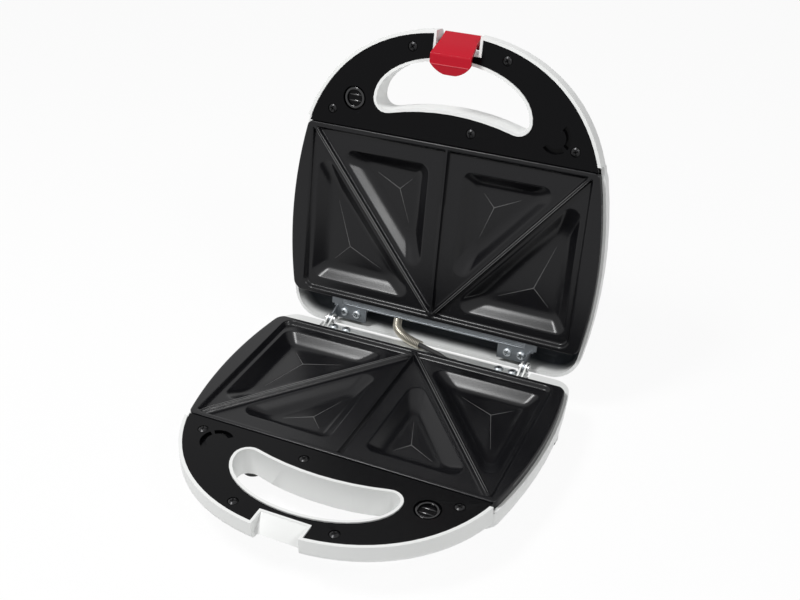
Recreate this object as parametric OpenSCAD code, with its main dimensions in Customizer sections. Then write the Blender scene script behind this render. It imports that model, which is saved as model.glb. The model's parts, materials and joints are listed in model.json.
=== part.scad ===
// Sandwich toaster, standing open as it is used.
// Both halves are drawn in one half frame: z = 0 is the plane where the closed
// halves meet, y = 0 is the rear edge of the cooking plates, and the half lies
// below z = 0. The lid is the same half turned over and swung up on its hinge.

/* [Plan] */
// Half width of a cooking plate at its widest
plate_half_w = 113.4; // [105:0.1:120]
// Depth of a cooking plate, rear edge to front edge
plate_depth = 127; // [122:1:132]
// Radius of the bowed sides
side_radius = 309; // [260:1:400]
// Distance from the rear edge of the plate to the widest place
side_widest = 54; // [40:1:70]
// How far the housing stands out past the plate at the sides
side_margin = 2.1; // [1.8:0.1:4]
// How far the base reaches behind the plate
base_rear = 13.6; // [13:0.1:15]
// Corner radius at the rear of the base
base_corner = 13; // [10:0.5:15]
// How far the lid reaches behind the plate
lid_rear = 22; // [21.5:0.1:24]
// Corner radius at the rear of the lid
lid_corner = 21; // [16:0.5:23]
// Half width of the handle at its root
handle_half_w = 111; // [108:0.1:114]
// Distance from the handle's root line to its front
handle_reach = 113; // [109:0.1:117]
// Distance of the handle's root line behind the plate's front edge
handle_root_in = 37.7; // [35:0.1:41]
// Squareness of the handle's curve, 2 is an ellipse
handle_power = 2.2; // [2:0.05:2.6]

/* [Heights] */
// Height of the meeting plane above the table
base_h = 38; // [36:0.5:44]
// Height of the rubber feet below the base
foot_h = 4; // [3:0.5:5]
// Depth of the handle's outer wall at its front
handle_front_h = 13; // [12:0.1:14]
// Fall of the handle's underside away from its edge, per mm
handle_fall = 0.13; // [0.1:0.01:0.15]
// Fall of the handle's underside from front to rear, per mm
handle_tilt = 0.035; // [0.02:0.005:0.05]
// Depth of the lid's body from the meeting plane
lid_h = 34; // [32:0.5:40]
// How far the housing wall beside the plates lies below the meeting plane
rim_drop = 5.6; // [5:0.1:7]
// Half of the gap between the closed halves
half_gap = 0.25; // [0.2:0.05:0.6]
// Edge radius of the handle
handle_edge = 4; // [3:0.1:5]
// Plan radius of the body's front corners
body_corner = 13; // [8:0.5:15]
// Depth of the body's upright side wall
body_side_h = 11; // [9:0.5:12]
// Width over which the body's underside rounds off
dome_w = 56; // [48:0.5:58]
// Squareness of that rounding
dome_power = 2.6; // [2.2:0.1:3]
// Wall of the housings
wall = 2.2; // [1.8:0.1:2.6]

/* [Cooking plates] */
// Corner radius of the plate
plate_corner = 6; // [4:0.5:9]
// Height of the plate's side face
plate_rim_h = 5.2; // [4.6:0.1:6]
// Width of the flat border at the sides, at its widest
side_border = 11.9; // [11.4:0.1:15]
// Width of the flat border at the rear and the front
field_border = 2.9; // [2:0.1:4]
// Depth of the sunk field below the border
field_drop = 3; // [2:0.1:3.4]
// Width of the slope round the field
field_slope = 2; // [1:0.1:3]
// Depth of a pocket below the field
pocket_drop = 7; // [5:0.1:7.4]
// Width of a pocket's sloping wall
pocket_slope = 9.5; // [6:0.5:11]
// Corner radius of a pocket
pocket_corner = 6; // [4:0.5:8]
// Height of the peak in a pocket's floor
pocket_peak = 0.8; // [0.3:0.1:1.5]
// Distance of a pocket from the ridge beside it
pocket_gap = 5; // [4:0.1:7]
// Distance of the outer pockets from the field's sides
pocket_side = 5.1; // [4.5:0.1:9]
// Rear side of the outer pockets
pocket_rear_y = 11.4; // [10:0.1:14]
// Inner side of the inner pockets
pocket_in_x = 12.4; // [11:0.1:15]
// Front side of the inner pockets, from the plate's front edge
pocket_front_y = 16; // [14:0.1:20]
// Wall of the casting
casting = 2.2; // [1.8:0.1:2.4]
// Width of the slanting ridges at their foot
ridge_w = 5; // [4:0.1:6]
// Width of the middle ridge at its foot
mid_ridge_w = 2.6; // [2:0.1:4]

/* [Handle] */
// Depth of the handle plate below the meeting plane
cover_drop = 1; // [0.8:0.1:1.5]
// Thickness of the handle plate
cover_t = 2.2; // [1.8:0.1:2.4]
// Rim beside the handle plate at the tips
rim_tip = 2.3; // [2.2:0.1:3]
// Rim in front of the handle plate
rim_front = 2.3; // [2:0.1:2.6]
// Half width of the finger opening's lip
grip_half_w = 56.5; // [50:0.5:60]
// Distance of the grip's rear lip from the plate's front edge, at the middle
grip_gap = 21; // [19:0.1:24]
// Distance of the grip's front lip from the handle's front
grip_front_in = 17.6; // [17.3:0.1:22]
// Radius of the grip's bowed rear side
grip_bow = 168.5; // [150:0.5:220]
// Radius of the grip's rear corners
grip_corner = 9.5; // [7:0.5:11]
// Wall round the grip
grip_wall = 2; // [1.6:0.1:2.4]
// Half width of the latch notch
notch_half_w = 15.2; // [15:0.1:18]
// Depth of the latch notch behind the handle's front
notch_depth = 12.3; // [11.3:0.1:12.8]
// Wall of the notch
notch_wall = 1.7; // [1.4:0.1:2]
// Distance of a handle plate's rear screws from the cooking plate
rear_screw_gap = 11.2; // [10.5:0.1:12.5]
// Distance of its front screws from the handle's front
front_screw_in = 13.7; // [13.5:0.1:14.5]
// Distance of its outer screws from the handle's side
side_screw_in = 24; // [22:0.5:28]
// Radius of the round recess in a handle plate
recess_r = 8.4; // [7:0.1:9]
// Depth of the round recess
recess_depth = 4; // [3:0.1:5]
// Mean radius of the curved slot in a handle plate
slot_r = 8.8; // [8:0.1:9.5]
// Width of the curved slot
slot_w = 3.6; // [2:0.1:4]

/* [Hinge] */
// How far the lid stands open, in degrees
lid_open = 100.5; // [92:0.5:104]
// Distance of the hinge line behind the plate's rear edge
hinge_y = 15.7; // [15.5:0.1:16.5]
// Depth of the hinge line below the meeting plane
hinge_drop = 3.95; // [3.6:0.05:4.4]
// Distance of a hinge from the middle
hinge_x = 74.6; // [72:0.1:76]
// Radius of the rounded ears
ear_r = 4.2; // [3.8:0.1:4.6]
// Thickness of the ears and rails
steel = 1.2; // [1:0.1:1.4]
// Radius of the hinge pins
pin_r = 1.8; // [1.5:0.1:2]
// Clearance of a pin in its hole, on the radius
pin_play = 0.05; // [0.02:0.01:0.1]
// Gap between two ears
ear_gap = 0.5; // [0.35:0.05:0.8]
// Half length of the rails
rail_half_l = 79; // [78:0.5:80]

/* [Latch] */
// Half width of the latch at its root
latch_half_w = 12.8; // [11:0.1:13]
// Half width of the latch at its hook
latch_hook_half_w = 14.2; // [12:0.1:14.4]
// Thickness of the latch
latch_t = 2.2; // [1.8:0.1:2.6]
// Distance of the latch pin above the meeting plane
latch_pin_z = 8.4; // [8:0.1:9]
// Distance of the latch pin behind the handle's front
latch_pin_in = 7.7; // [7.5:0.1:8]
// Distance of the latch wall's inner face from the pin
latch_in = 2.3; // [2.2:0.05:2.5]
// How far the latch leans inwards while the lid is open, in degrees
latch_lean = 30; // [26:0.5:32]
// Distance of the hook below the pin
latch_drop = 19.3; // [19:0.1:20]
// Plan radius of the hook's rounded end
hook_round = 18; // [15:0.5:24]
// Radius of the latch pin
latch_pin_r = 1.25; // [1:0.05:1.5]
/* [Small parts] */
// Radius of a foot
foot_r = 8; // [6:0.5:9]
// Radius of the screw heads
head_r = 2.9; // [2.5:0.1:3]
// Height of the screw heads
head_h = 1.8; // [1.4:0.1:2]
// Radius of the screw shanks
shank_r = 1.4; // [1.2:0.1:1.6]
// Clearance of a screw in its post, on the radius
shank_play = 0.06; // [0.05:0.01:0.1]
// Radius of the screw posts
post_r = 3.6; // [3.2:0.1:4]
// Sheet thickness of the heat shields
shield_t = 0.6; // [0.5:0.1:0.8]
// Radius of the heating element
heater_r = 3.2; // [2.8:0.1:3.4]
// Bend radius of the heating element
heater_bend = 25; // [20:0.5:27]
// Bore radius of the cord grommet
cord_r = 3.6; // [3:0.1:4]
// Distance of the cord grommet from the middle
cord_x = 44; // [36:1:46]
// Radius of a lamp lens
lens_r = 3.5; // [3:0.1:5]
// Half distance between the lamp lenses
lens_x = 12; // [9:0.5:16]

/* [Link lead] */
// Radius of the lead between the halves
lead_r = 1.7; // [1.4:0.1:1.8]
// Mean radius of the spring sleeve's curls
sleeve_r = 2.4; // [2.3:0.05:2.6]
// Radius of the sleeve's wire
sleeve_wire = 0.35; // [0.3:0.01:0.38]
// Number of curls in the sleeve
sleeve_curls = 24; // [18:1:26]
// Number of curls in the latch spring
latch_curls = 3; // [2:1:3]
// Wire radius of the latch spring
latch_wire = 0.25; // [0.2:0.01:0.28]

/* [Hidden] */

$fn = 48;
eps = 0.01;
far = 400;

handle_root = plate_depth - handle_root_in;
side_y = -side_widest;
step_y = -plate_depth - 4.1;
body_front = step_y - 1;
housing_half_w = plate_half_w + side_margin;
housing_radius = side_radius + side_margin;
front_y = -handle_root - handle_reach;
grip_rear = plate_depth + grip_gap;
grip_front = -front_y - grip_front_in;
notch_back = -front_y - notch_depth;
field_half_w = plate_half_w - side_border;
pocket_out_x = field_half_w - pocket_side;
cover_half_w = handle_half_w - rim_tip;
cover_reach = handle_reach - rim_front;
cover_clear = 0.2;
body_depth = base_h - foot_h;
hinge_z = -hinge_drop;

field_z = -half_gap - field_drop;
floor_z = field_z - pocket_drop;
plate_under = -half_gap - plate_rim_h;
bump_under = floor_z - casting;
heater_z = bump_under - heater_r - 0.1;
shield_top = heater_z - heater_r - 0.5;
shield_under = shield_top - shield_t;
shield_inset = 4.6;
tray_top = plate_under - 0.3;
rail_top = -rim_drop + 0.9;
rail_under = rail_top - steel;
rail_front = 1.6;
rail_rear = base_rear - wall - 0.3;
flange_under = rail_under - shield_t;

// Distances from the edge of the rings that the handle and the body are drawn with
handle_rings = [0, 0.3, 1.2, 2.4, handle_edge, 50];
dome_rings = [for (t = [0, 0.01, 0.045, 0.11, 0.21, 0.36, 0.58, 0.8, 1]) t * dome_w];

// The open lid's rearmost point, which gives the middle of the whole object
function open_reach(y, depth) =
    hinge_y - (hinge_y - y) * cos(lid_open) + (depth + hinge_drop) * sin(lid_open);
lid_back = max(concat(
    [for (d = dome_rings) open_reach(body_front + d, dome_depth(d, lid_h))],
    [for (d = handle_rings) open_reach(front_y + d, handle_depth(d) + handle_tilt * d)]));
origin_y = -(front_y + lid_back) / 2;

outer_screw_x = handle_half_w - side_screw_in;
rear_screw_y = -plate_depth - rear_screw_gap;
front_screw_y = front_y + front_screw_in;
cover_screws = [
    [-outer_screw_x, rear_screw_y], [-15.2, rear_screw_y + 0.6], [-34.6, front_screw_y],
    [31.4, front_screw_y], [outer_screw_x, rear_screw_y]];
clamp_screws = [cover_screws[0], cover_screws[4]];
rail_screw_x = [-hinge_x + 6.1, -hinge_x + 16.1, hinge_x - 16.1, hinge_x - 6.1];
base_screw_y = 7.6;
lid_screw_y = 11.2;
plate_screw_x = plate_half_w - 10;
plate_screws = [
    [-plate_screw_x, side_y], [plate_screw_x, side_y], [0, -14], [0, -plate_depth + 15]];
recess_at = [handle_half_w - 40, -plate_depth - 21];
slot_at = [-handle_half_w + 38.2, -plate_depth - 17.8];
foot_spots = [
    [-field_half_w, -14], [field_half_w, -14], [-62, -plate_depth + 5], [62, -plate_depth + 5]];
latch_pin_y = front_y + latch_pin_in;
screw_l = 12;
cover_screw_l = 8;
thermostat_r = 8;
thermostat_h = 8;
heater_x = field_half_w - 21.5;
heater_y = -plate_depth / 2 + 1.5;

// ---- helper functions -------------------------------------------------------

function unit(v) = v / norm(v);

// Points on an arc, angles in degrees
function arc(c, r, a0, a1, n) =
    [for (i = [0:n]) let (a = a0 + (a1 - a0) * i / n) [c.x + r * cos(a), c.y + r * sin(a)]];

// A right half outline and its mirror image, as one closed outline
function both_sides(right) =
    concat(right, [for (i = [len(right) - 1:-1:0]) [-right[i].x, right[i].y]]);

// Centre of a corner circle that touches the bowed side from inside
function corner_centre(half_w, big_r, y, r) =
    let (cx = half_w - big_r) [cx + sqrt(pow(big_r - r, 2) - pow(y - side_y, 2)), y];

// Bowed body outline: rear corner, side, front corner; inset moves it inwards
function body_outline(half_w, big_r, rear, rear_r, front, front_r, inset) =
    let (
        cx = half_w - big_r,
        r1 = max(rear_r, inset + 0.5),
        r2 = max(front_r, inset + 0.5),
        c1 = corner_centre(half_w, big_r, rear - r1, r1),
        c2 = corner_centre(half_w, big_r, front + r2, r2),
        a1 = atan2(c1.y - side_y, c1.x - cx),
        a2 = atan2(c2.y - side_y, c2.x - cx))
    both_sides(concat(
        arc(c1, r1 - inset, 90, a1, 6),
        [for (i = [1:7]) let (a = a1 + (a2 - a1) * i / 8)
            [cx + (big_r - inset) * cos(a), side_y + (big_r - inset) * sin(a)]],
        arc(c2, r2 - inset, a2, -90, 4)));

// Point of the handle's curve at angle t, 90 is the front
function handle_point(a, b, t) =
    [a * pow(cos(t), 2 / handle_power), -handle_root - b * pow(sin(t), 2 / handle_power)];

// Right half of the handle's curve from the line y to the front
function handle_side(a, b, y, n) =
    let (t0 = asin(pow((-handle_root - y) / b, handle_power / 2)))
    [for (i = [0:n]) handle_point(a, b, t0 + (89.9 - t0) * i / n)];

// Handle outline with a stretch of the body's sides behind it
function handle_outline(inset) =
    both_sides(concat(
        [for (y = [step_y + 36, step_y + 18, step_y + 0.6])
            [housing_half_w - housing_radius
                + sqrt(pow(housing_radius - inset, 2) - pow(y - side_y, 2)), y]],
        handle_side(handle_half_w - inset, handle_reach - inset, step_y, 16)));

// Depth of the handle at a distance from its edge, at its front
function handle_depth(d) =
    handle_front_h + (d < handle_edge
        ? sqrt(pow(handle_edge, 2) - pow(handle_edge - d, 2)) - handle_edge
        : handle_fall * (d - handle_edge));

// Depth of the body at a distance from its edge
function dome_depth(d, depth) =
    body_side_h + (depth - body_side_h)
        * pow(1 - pow(1 - d / dome_w, dome_power), 1 / dome_power);

function shell_body(rear, rear_r, inset) =
    body_outline(housing_half_w, housing_radius, rear, rear_r, body_front, body_corner, inset);

function plate_outline(inset) =
    body_outline(plate_half_w, side_radius, 0, plate_corner, -plate_depth, 3, inset);

// Handle plate outline, straight at the rear
function cover_outline(extra) =
    both_sides(concat([[0, -plate_depth - 0.7 + extra]],
        handle_side(cover_half_w + extra, cover_reach + extra, -plate_depth - 0.7, 18)));

// Grip outline: bowed rear side, round corners and a half ellipse in front
function grip_outline(inset) =
    let (
        cy = grip_bow - grip_rear,
        kx = grip_half_w - grip_corner,
        ky = cy - sqrt(pow(grip_bow + grip_corner, 2) - kx * kx),
        a0 = atan2(cy - ky, -kx),
        b = grip_front + ky)
    both_sides(concat(
        [for (i = [0:3]) let (a = 270 + (a0 - 90) * i / 4)
            [(grip_bow + inset) * cos(a), cy + (grip_bow + inset) * sin(a)]],
        arc([kx, ky], grip_corner - inset, a0, 0, 6),
        [for (i = [1:12]) let (t = 89.9 * i / 12)
            [(grip_half_w - inset) * cos(t), ky - (b - inset) * sin(t)]]));

// Ring of a rounded triangle, shrunk about its inner centre by the distance d
function tri_centre(p) =
    let (a = norm(p[1] - p[2]), b = norm(p[2] - p[0]), c = norm(p[0] - p[1]))
    (a * p[0] + b * p[1] + c * p[2]) / (a + b + c);
function tri_inner_r(p) =
    let (a = norm(p[1] - p[2]), b = norm(p[2] - p[0]), c = norm(p[0] - p[1]), s = (a + b + c) / 2)
    sqrt((s - a) * (s - b) * (s - c) / s);
function tri_corner(p, i, r) =
    let (
        q = p[i],
        u = unit(p[(i + 2) % 3] - q),
        v = unit(p[(i + 1) % 3] - q),
        half = acos(u * v) / 2,
        m = q + unit(u + v) * r / sin(half),
        start = atan2(-v.x * sign(u.x * v.y - u.y * v.x), v.y * sign(u.x * v.y - u.y * v.x)),
        turn = 180 - 2 * half)
    [for (k = [0:4]) let (a = atan2(m.y - q.y, m.x - q.x) + 180 + turn * (0.5 - k / 4))
        m + r * [cos(a), sin(a)]];
function tri_ring(p, r, d) =
    let (c = tri_centre(p), k = (tri_inner_r(p) - d) / tri_inner_r(p),
        ring = concat(tri_corner(p, 0, r), tri_corner(p, 1, r), tri_corner(p, 2, r)))
    [for (q = ring) c + (q - c) * k];

// Smooth curve through hand-set points, k steps between two points
function spline(p, k) =
    concat([for (i = [0:len(p) - 2], j = [0:k - 1])
        let (
            a = p[max(i - 1, 0)], b = p[i], c = p[i + 1], d = p[min(i + 2, len(p) - 1)],
            t = j / k)
        0.5 * (2 * b + (c - a) * t + (2 * a - 5 * b + 4 * c - d) * t * t
            + (3 * b - a - 3 * c + d) * t * t * t)],
        [p[len(p) - 1]]);

function tangent(p, i) = unit(p[min(i + 1, len(p) - 1)] - p[max(i - 1, 0)]);
function across(n, t) = unit(n - (n * t) * t);

// Side directions carried along a path with no needless twist
function sides(p, n0) =
    [for (i = 0, n = across(n0, tangent(p, 0)); i < len(p);
        i = i + 1, n = i < len(p) ? across(n, tangent(p, i)) : n) n];

// Length along a path at each of its points
function lengths(p) =
    [for (i = 0, l = 0; i < len(p); i = i + 1, l = i < len(p) ? l + norm(p[i] - p[i - 1]) : l) l];

// Helix of a given radius round a path, eight points to a curl, with straight ends
function helix(p, r, curls, n0, tail) =
    let (
        m = curls * 8,
        s = sides(p, n0),
        l = lengths(p),
        table = [for (i = [0:len(p) - 1]) [l[i], i]],
        curl = [for (i = [0:m])
            let (
                u = lookup(i / m * l[len(p) - 1], table), j = min(floor(u), len(p) - 2), f = u - j,
                c = p[j] * (1 - f) + p[j + 1] * f,
                t = unit(tangent(p, j) * (1 - f) + tangent(p, j + 1) * f),
                n = across(s[j] * (1 - f) + s[j + 1] * f, t),
                b = cross(t, n), a = i * 45)
            c + r * (cos(a) * n + sin(a) * b)])
    concat([curl[0] - unit(curl[1] - curl[0]) * tail], curl,
        [curl[m] + unit(curl[m] - curl[m - 1]) * tail]);

// Least distance between two curls of a helix
function self_gap(p, r) =
    min([for (i = [0:len(p) - 6], j = [i + 5:len(p) - 1]) norm(p[i] - p[j])]) - 2 * r;

// ---- helper modules ---------------------------------------------------------

// Solid through rings of equal length, from the top ring down; tilt lowers the
// rings after the first by that much per mm behind the handle's front
module loft(rings, zs, tilt = 0) {
    n = len(rings[0]);
    m = len(rings);
    polyhedron(
        [for (i = [0:m - 1]) for (q = rings[i])
            [q.x, q.y, zs[i] - (i > 0 ? tilt * (q.y - front_y) : 0)]],
        concat(
            [[for (j = [0:n - 1]) j]],
            [[for (j = [n - 1:-1:0]) (m - 1) * n + j]],
            [for (i = [0:m - 2], j = [0:n - 1]) let (k = (j + 1) % n)
                [i * n + k, i * n + j, (i + 1) * n + j]],
            [for (i = [0:m - 2], j = [0:n - 1]) let (k = (j + 1) % n)
                [i * n + k, (i + 1) * n + j, (i + 1) * n + k]]),
        convexity = 6);
}

// Round tube along a path
module sweep(p, r, side_count, n0) {
    s = sides(p, n0);
    n = side_count;
    m = len(p);
    polyhedron(
        [for (i = [0:m - 1]) let (t = tangent(p, i), b = cross(t, s[i])) for (j = [0:n - 1])
            p[i] + r * (cos(360 * j / n) * s[i] + sin(360 * j / n) * b)],
        concat(
            [[for (j = [0:n - 1]) j]],
            [[for (j = [n - 1:-1:0]) (m - 1) * n + j]],
            [for (i = [0:m - 2], j = [0:n - 1]) let (k = (j + 1) % n)
                [i * n + k, i * n + j, (i + 1) * n + j]],
            [for (i = [0:m - 2], j = [0:n - 1]) let (k = (j + 1) % n)
                [i * n + k, (i + 1) * n + j, (i + 1) * n + k]]),
        convexity = 6);
}

// Slab between two heights
module slab(outline, top, bottom) {
    translate([0, 0, bottom]) linear_extrude(top - bottom) polygon(outline);
}

module box_at(low, high) {
    translate(low) cube(high - low);
}

module rod(p, r, top, bottom) {
    translate([p.x, p.y, bottom]) cylinder(r = r, h = top - bottom);
}

module rod_x(y, z, r, x0, x1) {
    translate([x0, y, z]) rotate([0, 90, 0]) cylinder(r = r, h = x1 - x0);
}

// Round-headed screw that points down, its head's seat at z = 0
module screw(length) {
    difference() {
        union() {
            cylinder(r = head_r, h = head_h * 0.6);
            translate([0, 0, head_h * 0.6 - eps])
                cylinder(r1 = head_r, r2 = head_r * 0.62, h = head_h * 0.4 + eps);
            translate([0, 0, -length]) cylinder(r = shank_r, h = length + eps);
        }
        translate([-head_r * 0.6, -0.35, head_h * 0.5]) cube([head_r * 1.2, 0.7, head_h]);
        translate([-0.35, -head_r * 0.6, head_h * 0.5]) cube([0.7, head_r * 1.2, head_h]);
    }
}

module on_table() {
    translate([0, origin_y, base_h]) children();
}

// The closed lid lies above z = 0, and is swung open about the hinge line
module on_lid() {
    on_table() translate([0, hinge_y, hinge_z]) rotate([-lid_open, 0, 0])
        translate([0, -hinge_y, -hinge_z]) children();
}

// A half of the base's kind, turned over for the lid
module lid_half() {
    on_lid() rotate([0, 180, 0]) children();
}

// ---- housings ---------------------------------------------------------------

// Outer form of the body, or with thick its hollow
module body_form(rear, rear_r, depth, thick) {
    loft(
        [for (d = concat([0], dome_rings)) shell_body(rear, rear_r, d + thick)],
        concat([thick > 0 ? 1 : 0], [for (d = dome_rings) thick - dome_depth(d, depth)]));
}

// Outer form of the handle, or with thick its hollow
module handle_form(thick) {
    loft(
        [for (d = concat([0], handle_rings)) handle_outline(d + thick)],
        concat([thick > 0 ? 1 : 0], [for (d = handle_rings) thick - handle_depth(d)]),
        handle_tilt);
}

// Room of the latch notch; the base's has a sloping back with a bevel under it
module notch_block(extra, ramp) {
    back = -notch_back + extra;
    rotate([90, 0, 90]) translate([0, 0, -notch_half_w - extra])
        linear_extrude(2 * (notch_half_w + extra))
            polygon(ramp
                ? [[front_y - 5, 2], [back, 2], [back, -half_gap - 0.4],
                    [ramp_end.x + extra, ramp_end.y], [bevel_end.x + extra, bevel_end.y],
                    [bevel_end.x + extra, -far], [front_y - 5, -far]]
                : [[front_y - 5, 2], [back, 2], [back, -far], [front_y - 5, -far]]);
}

ramp_end = [-notch_back - 9.2, -9.2];
bevel_end = [-notch_back - 2.6, -13.6];

// Hollow half housing with its grip, notch and screw posts
module housing(rear, rear_r, depth, ramp) {
    difference() {
        union() {
            handle_form(0);
            body_form(rear, rear_r, depth, 0);
        }
        difference() {
            union() {
                handle_form(wall);
                body_form(rear, rear_r, depth, wall);
            }
            slab(grip_outline(0), 2, -far);
            notch_block(notch_wall, ramp);
            for (p = cover_screws) rod(p, post_r, 2, -far);
            handle_rims();
        }
        slab(grip_outline(grip_wall), 2, -far);
        notch_block(0, ramp);
        box_at([-far, -far, -half_gap], [far, far, 5]);
        // the wall beside the plates is lower than the handle
        box_at([-far, step_y, -rim_drop], [far, far, 5]);
        // room over the posts for the handle plate and the shield's ears
        cover_room();
        for (p = cover_screws) rod(p, shank_r + shank_play, 2, -cover_drop - cover_screw_l - 2);
    }
}

// The rim round the handle plate is thicker than the wall near its tips
module handle_rims() {
    difference() {
        box_at([-far, front_y - 1, -far], [far, step_y, 2]);
        slab(cover_outline(cover_clear), 3, -far - 1);
    }
}

// Room of the handle plate; the walls of the grip and the notch stand up through it
module cover_room() {
    difference() {
        slab(cover_outline(cover_clear), 1, -cover_drop - cover_t);
        slab(grip_outline(0), 2, -far);
        notch_block(notch_wall, false);
    }
    for (p = clamp_screws) rod(p, post_r + 4, 0, tray_top - shield_t - 0.05);
}

module base_housing() {
    color("whitesmoke") on_table() difference() {
        union() {
            housing(base_rear, base_corner, body_depth, true);
            rail_posts(base_screw_y, flange_under - 0.05, base_rear, base_corner, body_depth);
            corner_decks();
            for (p = foot_spots) rod(p, foot_r + 0.6, -body_depth + 12, -body_depth);
            // cradle of the terminal block
            box_at([cord_x - 17, terminal_y - 7, -body_depth + wall - eps],
                [cord_x + 17, terminal_y + 7, terminal_z - 0.05]);
            // boss of the cord inlet
            inlet(grommet_r + 3.6, base_rear - 13, base_rear);
        }
        rail_screw_holes(base_screw_y);
        // clearance for the hinge ears in the rear wall
        for (s = [-1, 1]) box_at([s * hinge_x - 5.6, 5, hinge_z - ear_r - 1.4],
            [s * hinge_x + 5.6, far, 5]);
        inlet(grommet_r, base_rear - 20, base_rear + 10);
        inlet(grommet_r + 1.6, base_rear - 13.5, base_rear - wall);
        // seats of the feet
        for (p = foot_spots) rod(p, 2.6, -body_depth + 9, -body_depth - 1);
    }
}

cord_z = -18;
grommet_r = cord_r + 2;
terminal_y = -27;
terminal_z = -body_depth + wall + 3;

// Round bar along the cord inlet's axis
module inlet(r, y0, y1) {
    translate([cord_x, y0, cord_z]) rotate([-90, 0, 0]) cylinder(r = r, h = y1 - y0);
}

// Posts of the rail screws, cut off inside the body's underside
module rail_posts(y, seat, rear, rear_r, depth) {
    intersection() {
        for (x = rail_screw_x) rod([x, y], post_r, seat, -depth);
        body_form(rear, rear_r, depth, 0.6);
    }
}

module rail_screw_holes(y) {
    for (x = rail_screw_x) rod([x, y], shank_r + shank_play, 0, rail_top - screw_l - 1);
}

// Closed plastic decks beside the rear corners of the lower plate
module corner_decks() {
    intersection() {
        difference() {
            slab(shell_body(base_rear, base_corner, 0.4), -rim_drop, -rim_drop - wall);
            slab(plate_outline(-0.8), 1, -far);
        }
        for (s = [-1, 1]) box_at([s > 0 ? rail_half_l + 0.4 : -far, -16, -far],
            [s > 0 ? far : -rail_half_l - 0.4, far, 5]);
    }
}

module lid_housing() {
    color("whitesmoke") lid_half() difference() {
        union() {
            housing(lid_rear, lid_corner, lid_h, false);
            rail_posts(lid_screw_y, rail_under - 0.05, lid_rear, lid_corner, lid_h);
        }
        rail_screw_holes(lid_screw_y);
        for (s = [-1, 1]) translate([s * lens_x, lens_y, -lid_h - 1]) cylinder(r = lens_r + 0.1, h = 10);
        rod_x(latch_pin_y, -latch_pin_z, latch_pin_r + pin_play,
            -notch_half_w - 1.2, notch_half_w + 1.2);
    }
}

lens_y = heater_y - thermostat_r - 7;

// ---- handle plates ----------------------------------------------------------

// The curved slot, in two lengths with a small bridge between
module slot_cut(depth) {
    for (a = [[44, 130], [144, 237]])
        translate([slot_at.x, slot_at.y, -cover_drop - depth]) rotate([0, 0, a[0]])
            rotate_extrude(angle = a[1] - a[0]) translate([slot_r - slot_w / 2, 0])
                square([slot_w, depth + 2]);
}

module handle_plate() {
    color([0.03, 0.03, 0.03]) difference() {
        union() {
            difference() {
                slab(cover_outline(0), -cover_drop, -cover_drop - cover_t);
                slab(grip_outline(-cover_clear), 2, -far);
                notch_block(notch_wall + cover_clear, false);
            }
            // cup of the round recess and wall of the slot
            rod(recess_at, recess_r + 1.6, -cover_drop - eps, -cover_drop - recess_depth - 1.4);
            rod(slot_at, slot_r + slot_w / 2 + 1.2, -cover_drop - cover_t + eps,
                -cover_drop - recess_depth);
            for (p = clamp_screws) rod(p, post_r, -cover_drop - eps, tray_top + 0.05);
        }
        difference() {
            rod(recess_at, recess_r, 1, -cover_drop - recess_depth);
            rod(recess_at, recess_r - 1.3, -cover_drop - 0.6, -far);
        }
        rod([recess_at.x, recess_at.y], recess_r - 2.6, 1, -cover_drop - 1.8);
        slot_cut(recess_depth - 1.2);
        for (p = cover_screws) {
            rod(p, head_r + 0.5, 1, -cover_drop - 1.3);
            rod(p, shank_r + 0.25, 1, -far);
        }
    }
}

module cover_screw_set() {
    color([0.05, 0.05, 0.05]) for (p = cover_screws)
        translate([p.x, p.y, -cover_drop - 1.3]) rotate([0, 0, p.x * 7]) screw(cover_screw_l);
}

// ---- cooking plates ---------------------------------------------------------

ridge_start = [0, -field_border];
ridge_end = [-field_half_w + 1.9, -plate_depth + field_border + 0.4];
ridge_dir = unit(ridge_end - ridge_start);
ridge_side = [-ridge_dir.y, ridge_dir.x];

// Where the line beside the slanting ridge meets x = const or y = const
function ridge_at_x(x, d) =
    let (o = ridge_start + ridge_side * d) [x, o.y + (x - o.x) * ridge_dir.y / ridge_dir.x];
function ridge_at_y(y, d) =
    let (o = ridge_start + ridge_side * d) [o.x + (y - o.y) * ridge_dir.x / ridge_dir.y, y];

outer_pocket = [
    [-pocket_out_x, -pocket_rear_y],
    ridge_at_y(-pocket_rear_y, -pocket_gap),
    ridge_at_x(-pocket_out_x, -pocket_gap)];
inner_pocket = [
    [-pocket_in_x, -plate_depth + pocket_front_y],
    ridge_at_y(-plate_depth + pocket_front_y, pocket_gap),
    ridge_at_x(-pocket_in_x, pocket_gap)];

// Hollow of a pocket, or its bump below when grown by the casting wall
module pocket_form(tri, grow) {
    top = field_z + (grow > 0 ? -1.4 : 1);
    d = [0, 0.8, 2, 4, 6, 8, pocket_slope];
    rings = concat([tri_ring(tri, pocket_corner, -grow)],
        [for (v = d) tri_ring(tri, pocket_corner, v * pocket_slope / 9.5 - grow)],
        [tri_ring(tri, pocket_corner, tri_inner_r(tri) * 0.985)]);
    drop = [for (v = d) let (t = v / 9.5) pocket_drop * t * t * (3 - 2 * t)];
    zs = concat([top], [for (v = drop) field_z - v - grow], [floor_z + pocket_peak - grow]);
    loft(rings, zs);
}

// Ridge between two points, flat on top
module ridge(a, b, foot, top_w) {
    u = unit(b - a);
    n = [-u.y, u.x];
    loft([
        [a + n * top_w / 2, b + n * top_w / 2, b - n * top_w / 2, a - n * top_w / 2],
        [a + n * foot / 2, b + n * foot / 2, b - n * foot / 2, a - n * foot / 2]],
        [-half_gap, field_z - 0.5]);
}

function field_ring(d) = [
    [field_half_w - d, -field_border - d], [field_half_w - d, -plate_depth + field_border + d],
    [-field_half_w + d, -plate_depth + field_border + d], [-field_half_w + d, -field_border - d]];

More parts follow.
